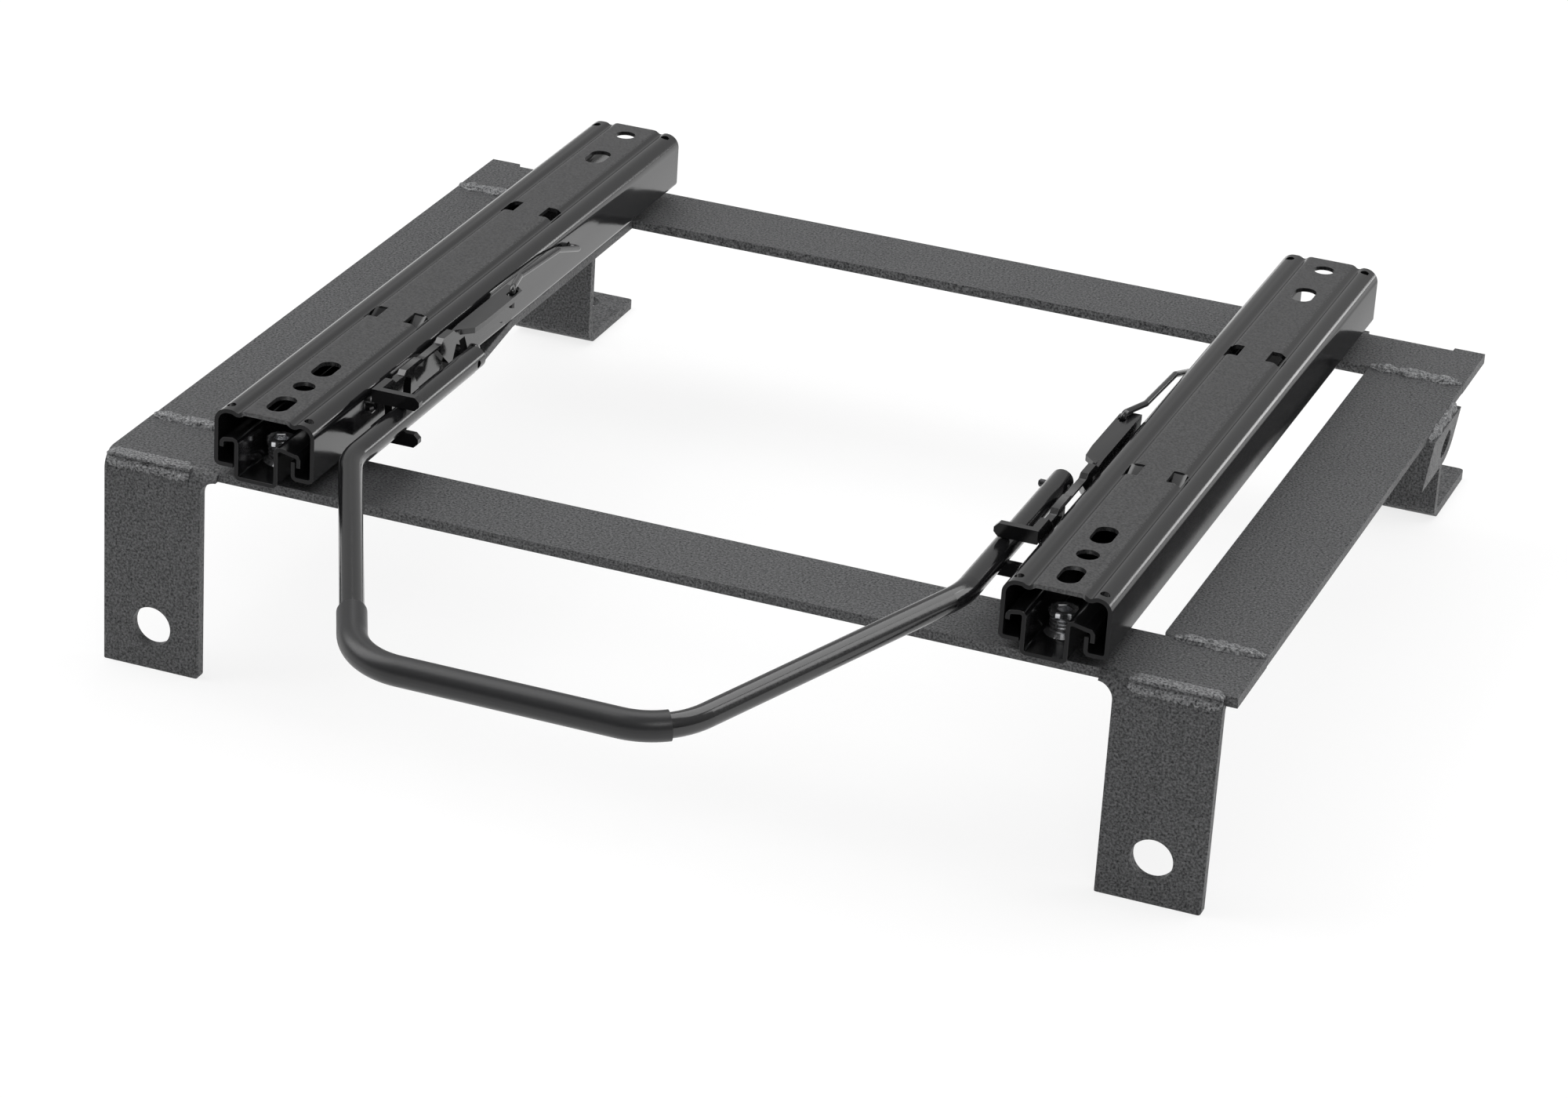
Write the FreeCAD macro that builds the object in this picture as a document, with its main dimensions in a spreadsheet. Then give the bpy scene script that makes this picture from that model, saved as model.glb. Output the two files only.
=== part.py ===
import FreeCAD, Part
import math
import os
import Sketcher

# Seat bracket: a welded floor frame that carries two seat sliders, with the bar that
# unlocks both sliders at once.
# Directions: X to the right, Y to the rear, Z up. While a piece is drawn, z = 0 is the
# top of the frame plates, y = 0 the front edge of the front crossbar and x = 0 the middle.
# Every piece is then moved so that the origin is midway between the two rear floor bolts,
# on the underside of the rear feet.

Vector = FreeCAD.Vector

# Driving dimensions in millimetres: name, value, meaning
DIMENSIONS = [
    ("plate_gauge", 4.0, "thickness of every frame plate"),
    ("bend_radius", 3.0, "inner radius of the folds in the crossbars"),
    ("bar_width", 36.0, "front to rear width of both crossbars"),
    ("frame_half_width", 221.0, "middle to the end of either crossbar"),
    ("side_plate_length", 277.4, "front to rear length of both side plates"),
    ("front_leg_width", 40.0, "width of both front legs"),
    ("front_leg_drop", 86.3, "frame top to the bottom of the front legs"),
    ("front_leg_stand", 2.8, "front face of the front legs ahead of the crossbar edge"),
    ("right_leg_inset", 4.5, "end of the front crossbar to the right front leg"),
    ("front_bolt_drop", 68.7, "frame top to the front floor bolts"),
    ("floor_bolt_hole", 13.0, "diameter of the four floor bolt holes"),
    ("leg_corner", 5.0, "corner radius of the front legs"),
    ("leg_root_corner", 6.0, "radius between a front leg and the crossbar"),
    ("rear_leg_width", 36.0, "width of both rear legs"),
    ("rear_leg_inset", 30.7, "end of the rear crossbar to the middle of a rear leg"),
    ("rear_leg_stand", 2.8, "rear face of the rear legs behind the crossbar edge"),
    ("rear_leg_drop", 77.3, "frame top to the underside of the rear feet"),
    ("foot_reach", 45.8, "rear leg face to the toe of the foot"),
    ("foot_bolt_edge", 12.5, "toe of the foot to the rear floor bolt"),
    ("foot_corner", 6.0, "corner radius of the feet"),
    ("left_plate_width", 87.0, "left side plate at its front"),
    ("left_plate_step", 6.0, "how much the left side plate narrows to the rear"),
    ("left_plate_step_start", 104.0, "front of the left side plate to its taper"),
    ("left_plate_step_length", 50.0, "length of the taper"),
    ("right_plate_width", 39.0, "width of the right side plate"),
    ("right_plate_corner", 4.0, "inner front corner radius of the right side plate"),
    ("weld_width", 6.0, "width of a weld bead"),
    ("weld_height", 1.5, "height of a weld bead above the plates"),
    ("weld_ripple", 0.22, "share by which a bead swells and narrows along its run"),
    ("weld_end", 1.0, "end of a weld bead to the edge of its plate"),
    ("tab_gauge", 5.5, "thickness of the belt buckle tab"),
    ("tab_length", 41.0, "front to rear length of the belt buckle tab"),
    ("tab_drop", 23.0, "height of the belt buckle tab"),
    ("tab_start", 224.0, "front of the right side plate to the tab"),
    ("tab_tilt", 7.5, "lean of the tab, its foot inwards, in degrees"),
    ("tab_edge_stand", 3.0, "outer face of the tab's root beyond the side plate's edge"),
    ("tab_hole", 11.5, "belt buckle bolt hole"),
    ("tab_hole_back", 14.0, "rear edge of the tab to its hole"),
    ("tab_hole_drop", 12.0, "root of the tab to its hole"),
    ("tab_corner", 9.0, "rear lower corner radius of the tab"),
    ("rail_inset", 67.0, "end of the crossbars to the middle of a slider"),
    ("rail_length", 350.0, "length of the slider rails"),
    ("rail_overhang", 3.4, "slider rails ahead of the front crossbar"),
    ("rail_gauge", 1.6, "sheet thickness of the slider rails"),
    ("rail_bend", 0.8, "inner radius of the tight bends in the rails"),
    ("rail_shoulder", 4.6, "centre line radius of the upper rail's shoulders"),
    ("rail_gap", 0.55, "running clearance between upper and lower rail"),
    ("upper_left_reach", 21.0, "slider middle to the left face of the upper rail"),
    ("upper_right_reach", 19.9, "slider middle to the right face of the upper rail"),
    ("upper_height", 28.4, "frame top to the seat face of the slider"),
    ("ridge_drop", 0.4, "seat face down to the outer ridges"),
    ("groove_drop", 1.7, "seat face down to the bottom of the grooves"),
    ("groove_place", 11.3, "slider middle to either groove"),
    ("groove_half", 2.3, "half width of a groove"),
    ("lip_height", 4.8, "frame top to the underside of the turned-in lips"),
    ("channel_left", 12.75, "slider middle to the left face of the lower channel"),
    ("channel_right", 5.05, "slider middle to the right face of the lower channel"),
    ("flange_top", 17.2, "frame top to the crest of the lower rail's flanges"),
    ("left_flange_fall", 1.0, "fall of the left flange from the channel to its edge"),
    ("left_flange_end", 12.5, "frame top to the free end of the left flange"),
    ("hook_reach", 14.3, "slider middle to the outer face of the right hook"),
    ("hook_slope", 1.9, "fall of the right flange from the channel to its hook"),
    ("hook_end", 10.3, "frame top to the free end of the right hook"),
    ("seat_slot_length", 15.0, "length of the slots in the seat face"),
    ("seat_slot_width", 8.5, "width of those slots and of the round holes"),
    ("seat_slot_one", 9.8, "front crossbar edge to the first slot"),
    ("seat_hole_front", 28.3, "front crossbar edge to the front round hole"),
    ("seat_slot_two", 46.9, "front crossbar edge to the second slot"),
    ("seat_slot_rear", 305.1, "front crossbar edge to the rear slot"),
    ("seat_hole_rear", 334.9, "front crossbar edge to the rear round hole"),
    ("lance_front", 107.8, "front crossbar edge to the front pair of lanced stops"),
    ("lance_rear", 236.3, "front crossbar edge to the rear pair of lanced stops"),
    ("lance_length", 10.6, "length of a lanced opening"),
    ("lance_width", 5.7, "width of a lanced opening, out to the bottom of its groove"),
    ("lance_fall", 4.0, "fall of the tongue in a front lanced opening"),
    ("punch_width", 3.6, "diameter of the punched end marks"),
    ("punch_edge", 4.7, "rail end to a punched mark"),
    ("ball_clearance", 0.3, "clearance of the bearing balls in their tracks"),
    ("ball_pitch", 24.0, "distance between the balls of one pack"),
    ("ball_pack_place", 70.0, "rail end to the first ball of a pack"),
    ("slider_bolt", 8.0, "shank diameter of the slider bolts"),
    ("slider_bolt_front", 18.0, "front crossbar edge to the front slider bolts"),
    ("slider_bolt_rear_edge", 18.4, "rear crossbar's rear edge to the rear slider bolts"),
    ("bolt_clearance", 0.25, "radial clearance round the slider bolts"),
    ("bolt_flange", 13.4, "flange diameter of the slider bolts"),
    ("bolt_flange_height", 1.5, "thickness of that flange"),
    ("bolt_hex", 10.0, "width across the flats of the bolt heads"),
    ("bolt_head_height", 9.4, "height of the bolt heads"),
    ("bolt_crown", 0.8, "bevel on the corners of the bolt heads"),
    ("nut_hex", 13.0, "width across the flats of the nuts"),
    ("nut_height", 4.0, "height of the thin nuts"),
    ("thread_end", 0.8, "bolt end below its nut"),
    ("tube_size", 9.0, "outer diameter of the release bar"),
    ("tube_wall", 1.5, "wall of the release bar"),
    ("tube_arm_inset", 34.8, "slider middle inwards to the arms of the release bar"),
    ("tube_arm_rear", 105.9, "front crossbar edge to the rear end of the arms"),
    ("tube_arm_height", 18.7, "frame top to the axis of the arms"),
    ("tube_knee_front", 4.0, "front crossbar edge forward to the knees of the bar"),
    ("tube_front_reach", 127.0, "front crossbar edge forward to the grip"),
    ("tube_front_half", 58.5, "middle of the bracket to the corners of the grip"),
    ("tube_front_height", 5.1, "frame top to the axis of the grip"),
    ("tube_bend", 28.0, "centre line radius of the bends in the release bar"),
    ("sleeve_wall", 0.95, "wall of the grip sleeve"),
    ("sleeve_left_run", 14.0, "sleeve past the left bend of the grip"),
    ("sleeve_right_share", 0.55, "share of the right bend that the sleeve covers"),
    ("pin_hole", 3.0, "cross hole in each arm of the release bar"),
    ("pin_hole_edge", 5.9, "rear end of an arm to its cross hole"),
    ("pin_stand", 2.6, "cross pin beyond the inner side of the tube"),
    ("pin_bevel", 0.5, "bevel on the inner end of the cross pin"),
    ("lever_gauge", 3.0, "sheet thickness of the latch levers"),
    ("left_lever_gap", 3.5, "left slider's upper rail to the back of its lever"),
    ("right_lever_gap", 0.8, "right slider's upper rail to the back of its lever"),
    ("lever_front", 37.5, "front crossbar edge to the front of a lever"),
    ("lever_plate_end", 104.0, "front crossbar edge to the end of the lever's plate"),
    ("lever_plate_low", 11.0, "frame top to the lower edge of the plate"),
    ("lever_plate_high", 28.0, "frame top to the upper edge of the plate"),
    ("lever_top_fall", 1.0, "fall of a lever's upper edge from its fork to its tail"),
    ("lever_bridge_low", 22.5, "frame top to the underside of the lever's neck"),
    ("lever_leg_start", 117.4, "front crossbar edge to the pivot leg"),
    ("lever_leg_end", 127.6, "front crossbar edge to the back of the pivot leg"),
    ("lever_tail", 160.5, "front crossbar edge to the tail of a lever"),
    ("lever_tail_low", 17.0, "frame top to the lower edge of the tail"),
    ("lever_flange_gauge", 2.4, "thickness of the tail flange"),
    ("lever_flange_reach", 4.9, "tail flange inwards from the lever's face"),
    ("left_prong_reach", 16.5, "left fork prongs inwards from their lever's face"),
    ("right_prong_reach", 13.7, "right fork prongs inwards from their lever's face"),
    ("fork_depth", 12.0, "depth of the mouth between the fork prongs"),
    ("window_front", 59.0, "front crossbar edge to the arched window of a lever"),
    ("window_width", 7.0, "width of that window"),
    ("window_rib", 9.0, "rib between the two windows of a lever"),
    ("prong_height", 5.4, "height of a fork prong"),
    ("prong_clearance", 0.25, "release bar to either fork prong"),
    ("pivot_y", 122.5, "front crossbar edge to the lever pivots"),
    ("pivot_height", 11.0, "frame top to the lever pivots"),
    ("pivot_size", 7.0, "diameter of the pivot studs"),
    ("pivot_fit", 0.05, "radial fit of a lever on its stud"),
    ("pivot_head", 10.0, "head diameter of the pivot studs"),
    ("pivot_head_height", 1.8, "head height of the pivot studs"),
    ("stud_shoulder", 1.0, "step of a pivot stud down to its riveted neck"),
    ("spring_wire", 2.5, "diameter of the spring wires"),
    ("spring_clearance", 0.3, "spring wire to the sides of its holes"),
    ("spring_bend", 2.25, "centre line radius of the bends in a spring wire"),
    ("spring_end_drop", 6.0, "lever's tail flange down to the lower end of its wire"),
    ("spring_rise", 2.0, "lever's tail flange up to the wire's first bend"),
    ("spring_bow_start", 9.0, "tail of a lever back to the wire's bow"),
    ("spring_bow_rise", 0.75, "lever's tail flange up to the start of the bow"),
    ("spring_bow_shift", 16.0, "middle of the wire's run back to the crest of its bow"),
    ("spring_bow_drop", 1.5, "lever's tail flange down to the crest of the bow"),
    ("spring_hole_y", 153.5, "front crossbar edge to the spring hole in the tail"),
    ("spring_hole_length", 7.0, "length of that hole"),
    ("spring_hook_y", 229.3, "front crossbar edge to the spring hook in the rail"),
    ("spring_hook_height", 18.5, "frame top to the spring hook"),
    ("spring_hook_fit", 0.6, "spring wire to the side of its hole in the rail"),
    ("stop_screw", 4.0, "diameter of the front stop screws"),
    ("stop_screw_y", 44.8, "front crossbar edge to the front stop screws"),
    ("stop_screw_height", 19.2, "frame top to the front stop screws"),
    ("stop_screw_head", 6.8, "head diameter of the front stop screws"),
    ("left_screw_stand", 2.0, "head height of the left stop screw"),
    ("right_screw_stand", 0.5, "head height of the right stop screw"),
]


# A length that knows both its number and the sheet formula that it comes from.
class Size:
    def __init__(self, value, formula):
        self.value = float(value)
        self.formula = formula

    def __add__(self, other):
        other = size(other)
        return Size(self.value + other.value, f"({self.formula} + {other.formula})")

    def __sub__(self, other):
        other = size(other)
        return Size(self.value - other.value, f"({self.formula} - {other.formula})")

    def __mul__(self, other):
        other = size(other)
        return Size(self.value * other.value, f"({self.formula} * {other.formula})")

    def __truediv__(self, other):
        other = size(other)
        return Size(self.value / other.value, f"({self.formula} / {other.formula})")

    def __radd__(self, other):
        return size(other) + self

    def __rsub__(self, other):
        return size(other) - self

    def __rmul__(self, other):
        return size(other) * self

    def __neg__(self):
        return Size(-self.value, f"(0 - {self.formula})")


def size(number):
    if isinstance(number, Size):
        return number
    return Size(number, repr(float(number)))


class SizeSheet:
    # The spreadsheet's aliases as attributes: dims.bar_width is a Size.
    def __init__(self, document, rows):
        self.sheet = document.addObject("Spreadsheet::Sheet", "Sizes")
        for row, (name, value, meaning) in enumerate(rows, start=1):
            self.sheet.set(f"A{row}", meaning)
            self.sheet.set(f"B{row}", str(value))
            self.sheet.setAlias(f"B{row}", name)
            setattr(self, name, Size(value, f"Sizes.{name}"))


doc = FreeCAD.newDocument("seat_bracket")
dims = SizeSheet(doc, DIMENSIONS)
doc.recompute()

pieces = []

# Places that several pieces share
bend_outer = dims.bend_radius + dims.plate_gauge
rear_bar_start = dims.bar_width + dims.side_plate_length
rear_bar_end = rear_bar_start + dims.bar_width
rear_leg_face = rear_bar_end + dims.rear_leg_stand
toe_end = rear_leg_face + dims.foot_reach
rear_floor_bolt_y = toe_end - dims.foot_bolt_edge
left_leg_centre = dims.front_leg_width / 2 - dims.frame_half_width
right_leg_centre = dims.frame_half_width - dims.right_leg_inset - dims.front_leg_width / 2
slider_bolt_rear = rear_bar_end - dims.slider_bolt_rear_edge
rail_end = dims.rail_length - dims.rail_overhang
channel_middle = (dims.channel_right - dims.channel_left) / 2
rail_place = dims.frame_half_width - dims.rail_inset
rear_leg_place = dims.frame_half_width - dims.rear_leg_inset
arm_place = rail_place - dims.tube_arm_inset
lever_tail_top = dims.lever_plate_high - dims.lever_top_fall

# How far a cut reaches past the material that it goes through, in millimetres
OVERRUN = 1


# Building blocks


def place(piece, shift_x=0):
    """Move a finished piece from its drawing place to the bracket's own origin."""
    shift = (size(shift_x), -rear_floor_bolt_y, dims.rear_leg_drop)
    for axis, amount in zip("xyz", shift):
        piece.setExpression(f"Placement.Base.{axis}", amount.formula)


def keep(piece, name, shift_x=0):
    """Name a finished piece, move it and list it for export."""
    piece.Label = name
    place(piece, shift_x)
    pieces.append(piece)
    return piece


def new_body(name, shift_x=0):
    body = doc.addObject("PartDesign::Body", name)
    return keep(body, name, shift_x)


def sketch_on(body, role, offset=0):
    """A sketch on one of the body's origin planes, lifted along that plane's normal."""
    sketch = body.newObject("Sketcher::SketchObject", f"{body.Name}_sketch")
    plane = [item for item in body.Origin.OriginFeatures if item.Role == role][0]
    sketch.AttachmentSupport = [(plane, "")]
    sketch.MapMode = "FlatFace"
    sketch.setExpression("AttachmentOffset.Base.z", size(offset).formula)
    return sketch


def hold_point(sketch, geometry, end, x, y):
    """Tie a sketch point to the sheet, measured from the sketch's origin."""
    for kind, amount in (("DistanceX", size(x)), ("DistanceY", size(y))):
        index = sketch.addConstraint(Sketcher.Constraint(kind, -1, 1, geometry, end, amount.value))
        sketch.setExpression(f"Constraints[{index}]", amount.formula)


def outline(sketch, corners):
    """A closed outline of straight lines, every corner tied to the sheet."""
    first = sketch.GeometryCount
    points = [Vector(size(x).value, size(y).value, 0) for x, y in corners]
    count = len(points)
    for number, point in enumerate(points):
        sketch.addGeometry(Part.LineSegment(point, points[(number + 1) % count]), False)
    for number, (x, y) in enumerate(corners):
        following = first + (number + 1) % count
        sketch.addConstraint(Sketcher.Constraint("Coincident", first + number, 2, following, 1))
        hold_point(sketch, first + number, 1, x, y)


def circle(sketch, x, y, diameter):
    centre = Vector(size(x).value, size(y).value, 0)
    radius = size(diameter) / 2
    index = sketch.addGeometry(Part.Circle(centre, Vector(0, 0, 1), radius.value), False)
    hold_point(sketch, index, 3, x, y)
    bound = sketch.addConstraint(Sketcher.Constraint("Radius", index, radius.value))
    sketch.setExpression(f"Constraints[{bound}]", radius.formula)


def turn_between(before, corner, after):
    """Signed turn of a path at a corner, counter-clockwise positive, in radians."""
    way_in = corner - before
    way_out = after - corner
    return math.atan2(way_in.x * way_out.y - way_in.y * way_out.x, way_in.dot(way_out))


def left_of(direction):
    return Vector(-direction.y, direction.x, 0)


def strip(sketch, path, gauge, bend):
    """The section of a bent sheet: a closed outline that follows its centre line.

    path holds (x, y) or (x, y, centre line radius) and bend is the usual inner radius.
    """
    half = gauge.value / 2
    points = [Vector(size(step[0]).value, size(step[1]).value, 0) for step in path]
    sides = {1: [], -1: []}
    for number, point in enumerate(points):
        if number in (0, len(points) - 1):
            neighbour = points[1] if number == 0 else points[-2]
            along = (neighbour - point).normalize()
            if number:
                along = along * -1
            for side in sides:
                sides[side].append(("end", point + left_of(along) * half * side))
            continue
        before = (point - points[number - 1]).normalize()
        after = (points[number + 1] - point).normalize()
        turn = turn_between(points[number - 1], point, points[number + 1])
        radius = bend + gauge / 2
        if len(path[number]) == 3:
            radius = path[number][2]
        cut = radius.value * math.tan(abs(turn) / 2)
        sign = 1 if turn > 0 else -1
        centre = point - before * cut + left_of(before) * radius.value * sign
        middle = (after - before).normalize() * -1
        for side in sides:
            reach = radius - gauge / 2 * side * sign
            first = centre - left_of(before) * reach.value * sign
            last = centre - left_of(after) * reach.value * sign
            sides[side].append(("bend", first, centre + middle * reach.value, last, reach))
    # The left side runs forwards and the right side runs back, which closes the outline.
    loop = sides[1] + [reverse_step(step) for step in reversed(sides[-1])]
    draw_loop(sketch, loop)


def reverse_step(step):
    if step[0] == "end":
        return step
    return (step[0], step[3], step[2], step[1], step[4])


def draw_loop(sketch, loop):
    """Lines between the steps of a loop and an arc at each bend, all joined end to end."""
    ends = []
    count = len(loop)
    for number, step in enumerate(loop):
        following = loop[(number + 1) % count]
        if step[0] == "bend":
            # The sketch keeps every arc counter-clockwise, so its ends may be swapped.
            clockwise = turn_between(step[1], step[2], step[3]) < 0
            first, last = (step[3], step[1]) if clockwise else (step[1], step[3])
            index = sketch.addGeometry(Part.Arc(first, step[2], last), False)
            ends.append((index, 2, 1) if clockwise else (index, 1, 2))
            radius = sketch.addConstraint(Sketcher.Constraint("Radius", index, step[4].value))
            sketch.setExpression(f"Constraints[{radius}]", step[4].formula)
        start = step[1] if step[0] == "end" else step[3]
        index = sketch.addGeometry(Part.LineSegment(start, following[1]), False)
        ends.append((index, 1, 2))
    for number, (index, entry, leave) in enumerate(ends):
        joined, joined_entry, joined_leave = ends[(number + 1) % len(ends)]
        sketch.addConstraint(Sketcher.Constraint("Coincident", index, leave, joined, joined_entry))


def pad(body, sketch, length, reverse=False):
    feature = body.newObject("PartDesign::Pad", f"{body.Name}_pad")
    feature.Profile = sketch
    feature.setExpression("Length", size(length).formula)
    feature.Reversed = reverse
    doc.recompute()
    return feature


def pocket(body, sketch, depth, reverse=False):
    """Cut a sketch into the body and make sure that it cut something."""
    before = body.Tip.Shape.Volume
    feature = body.newObject("PartDesign::Pocket", f"{body.Name}_pocket")
    feature.Profile = sketch
    feature.setExpression("Length", size(depth).formula)
    feature.Reversed = reverse
    doc.recompute()
    if feature.Shape.isNull() or feature.Shape.Volume >= before - 1e-6:
        raise RuntimeError(f"{feature.Name} cuts nothing")
    return feature


def fillet(body, radius, wanted):
    """Round the edges whose middle and direction the wanted test accepts."""
    names = []
    carrier = body.Tip
    for number, edge in enumerate(carrier.Shape.Edges, start=1):
        first, last = edge.ParameterRange
        middle = edge.valueAt((first + last) / 2)
        along = edge.tangentAt((first + last) / 2)
        if wanted(middle, along):
            names.append(f"Edge{number}")
    if not names:
        raise RuntimeError(f"{body.Name} has no edge to round")
    feature = body.newObject("PartDesign::Fillet", f"{body.Name}_fillet")
    feature.Base = (carrier, names)
    feature.setExpression("Radius", size(radius).formula)
    doc.recompute()
    return feature


def near(value, wanted):
    return abs(value - size(wanted).value) < 0.05


def bend_path(points, radius):
    """A wire of straight runs with a tangent arc of one radius at every inner point."""
    edges = []
    start = points[0]
    for number in range(1, len(points) - 1):
        corner = points[number]
        back = (points[number - 1] - corner).normalize()
        ahead = (points[number + 1] - corner).normalize()
        half_turn = (math.pi - back.getAngle(ahead)) / 2
        cut = radius * math.tan(half_turn)
        first = corner + back * cut
        last = corner + ahead * cut
        inwards = (back + ahead).normalize()
        middle = corner + inwards * (radius / math.cos(half_turn) - radius)
        edges.append(Part.LineSegment(start, first).toShape())
        edges.append(Part.Arc(first, middle, last).toShape())
        start = last
    edges.append(Part.LineSegment(start, points[-1]).toShape())
    return Part.Wire(edges)


def swept_rod(path, diameter):
    """A round rod along a wire of lines and tangent arcs."""
    start = path.Edges[0]
    origin = start.valueAt(start.FirstParameter)
    heading = start.tangentAt(start.FirstParameter)
    disc = Part.Wire([Part.Circle(origin, heading, diameter / 2).toShape()])
    return path.makePipeShell([disc], True, True)


def shaped(name, shape, shift_x=0):
    """A piece whose shape is worked out from the sheet's values in code."""
    feature = doc.addObject("Part::Feature", name)
    feature.Shape = shape
    return keep(feature, name, shift_x)


# Welded frame


def front_leg(body, inner, outer, side):
    """One front leg: the folded strip, with the round root where it leaves the crossbar.

    inner and outer are the leg's two edges, and side is -1 for the left leg.
    """
    root = inner - dims.leg_root_corner * side
    low, high = (outer, root) if side < 0 else (root, outer)
    fold = sketch_on(body, "YZ_Plane", low)
    half = dims.plate_gauge / 2
    face = half - dims.front_leg_stand
    strip(
        fold,
        [(bend_outer, -half), (face, -half), (face, -dims.front_leg_drop)],
        dims.plate_gauge,
        dims.bend_radius,
    )
    pad(body, fold, high - low)
    # The waste beside the leg, below the crossbar, with the round root left standing
    waste = sketch_on(body, "XZ_Plane", -bend_outer)
    under = -dims.plate_gauge
    floor = -dims.front_leg_drop - OVERRUN
    arc_centre = Vector(root.value, (under - dims.leg_root_corner).value, 0)
    reach = dims.leg_root_corner.value
    arc_top = arc_centre + Vector(0, reach, 0)
    arc_side = arc_centre + Vector(reach * side, 0, 0)
    arc_middle = arc_centre + Vector(reach * side, reach, 0) * math.sqrt(0.5)
    beyond = root.value - OVERRUN * side
    corners = [
        arc_side,
        Vector(inner.value, floor.value, 0),
        Vector(beyond, floor.value, 0),
        Vector(beyond, under.value, 0),
        arc_top,
    ]
    for start, end in zip(corners, corners[1:]):
        waste.addGeometry(Part.LineSegment(start, end), False)
    waste.addGeometry(Part.Arc(arc_top, arc_middle, arc_side), False)
    pocket(body, waste, bend_outer + dims.front_leg_stand + OVERRUN, reverse=True)


def make_front_crossbar():
    """Flat bar with both front legs folded down from its front edge."""
    body = new_body("front_crossbar")
    bend_start = bend_outer - dims.front_leg_stand
    left_outer = -dims.frame_half_width
    left_inner = left_outer + dims.front_leg_width
    right_outer = dims.frame_half_width - dims.right_leg_inset
    right_inner = right_outer - dims.front_leg_width
    left_root = left_inner + dims.leg_root_corner
    right_root = right_inner - dims.leg_root_corner
    plate = sketch_on(body, "XY_Plane")
    outline(
        plate,
        [
            (left_outer, bend_start),
            (left_root, bend_start),
            (left_root, 0),
            (right_root, 0),
            (right_root, bend_start),
            (right_outer, bend_start),
            (right_outer, 0),
            (dims.frame_half_width, 0),
            (dims.frame_half_width, dims.bar_width),
            (left_outer, dims.bar_width),
        ],
    )
    pad(body, plate, dims.plate_gauge, reverse=True)
    front_leg(body, left_inner, left_outer, -1)
    front_leg(body, right_inner, right_outer, 1)
    holes = sketch_on(body, "XZ_Plane", -bend_outer)
    for centre in (left_leg_centre, right_leg_centre):
        circle(holes, centre, -dims.front_bolt_drop, dims.floor_bolt_hole)
    pocket(body, holes, bend_outer + dims.front_leg_stand + OVERRUN, reverse=True)
    drill_slider_bolt_holes(body, dims.slider_bolt_front)
    bottom = -dims.front_leg_drop

    def at_bottom_corner(middle, along):
        sides = (left_outer, left_inner, right_outer, right_inner)
        on_side = any(near(middle.x, edge) for edge in sides)
        return on_side and near(middle.z, bottom) and abs(along.y) > 0.9

    fillet(body, dims.leg_corner, at_bottom_corner)


def drill_slider_bolt_holes(body, y):
    """The two holes of a crossbar that take the slider bolts."""
    holes = sketch_on(body, "XY_Plane", OVERRUN)
    for side in (-1, 1):
        x = rail_place * side + channel_middle
        circle(holes, x, y, dims.slider_bolt + dims.bolt_clearance * 2)
    pocket(body, holes, dims.plate_gauge + 2 * OVERRUN)


def make_rear_crossbar():
    """Flat bar with both rear legs folded down and out into feet."""
    body = new_body("rear_crossbar")
    bend_start = rear_leg_face - bend_outer
    half_width = dims.frame_half_width
    inner = rear_leg_place - dims.rear_leg_width / 2
    outer = rear_leg_place + dims.rear_leg_width / 2
    plate = sketch_on(body, "XY_Plane")
    outline(
        plate,
        [
            (-half_width, rear_bar_start),
            (half_width, rear_bar_start),
            (half_width, rear_bar_end),
            (outer, rear_bar_end),
            (outer, bend_start),
            (inner, bend_start),
            (inner, rear_bar_end),
            (-inner, rear_bar_end),
            (-inner, bend_start),
            (-outer, bend_start),
            (-outer, rear_bar_end),
            (-half_width, rear_bar_end),
        ],
    )
    pad(body, plate, dims.plate_gauge, reverse=True)
    half = dims.plate_gauge / 2
    for start in (-outer, inner):
        fold = sketch_on(body, "YZ_Plane", start)
        strip(
            fold,
            [
                (bend_start - half, -half),
                (rear_leg_face - half, -half),
                (rear_leg_face - half, half - dims.rear_leg_drop),
                (toe_end, half - dims.rear_leg_drop),
            ],
            dims.plate_gauge,
            dims.bend_radius,
        )
        pad(body, fold, dims.rear_leg_width)
    holes = sketch_on(body, "XY_Plane", dims.plate_gauge - dims.rear_leg_drop + OVERRUN)
    for side in (-1, 1):
        circle(holes, rear_leg_place * side, rear_floor_bolt_y, dims.floor_bolt_hole)
    pocket(body, holes, dims.plate_gauge + 2 * OVERRUN)
    drill_slider_bolt_holes(body, slider_bolt_rear)

    def at_toe_corner(middle, along):
        return near(middle.y, toe_end) and abs(along.z) > 0.9

    fillet(body, dims.foot_corner, at_toe_corner)


def make_left_side_plate():
    """Wide plate that the left slider lies on, a little narrower towards the rear."""
    body = new_body("left_side_plate")
    outer = -dims.frame_half_width
    front = dims.bar_width
    wide = outer + dims.left_plate_width
    narrow = wide - dims.left_plate_step
    taper = front + dims.left_plate_step_start
    plate = sketch_on(body, "XY_Plane")
    outline(
        plate,
        [
            (outer, front),
            (wide, front),
            (wide, taper),
            (narrow, taper + dims.left_plate_step_length),
            (narrow, rear_bar_start),
            (outer, rear_bar_start),
        ],
    )
    pad(body, plate, dims.plate_gauge, reverse=True)


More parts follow.
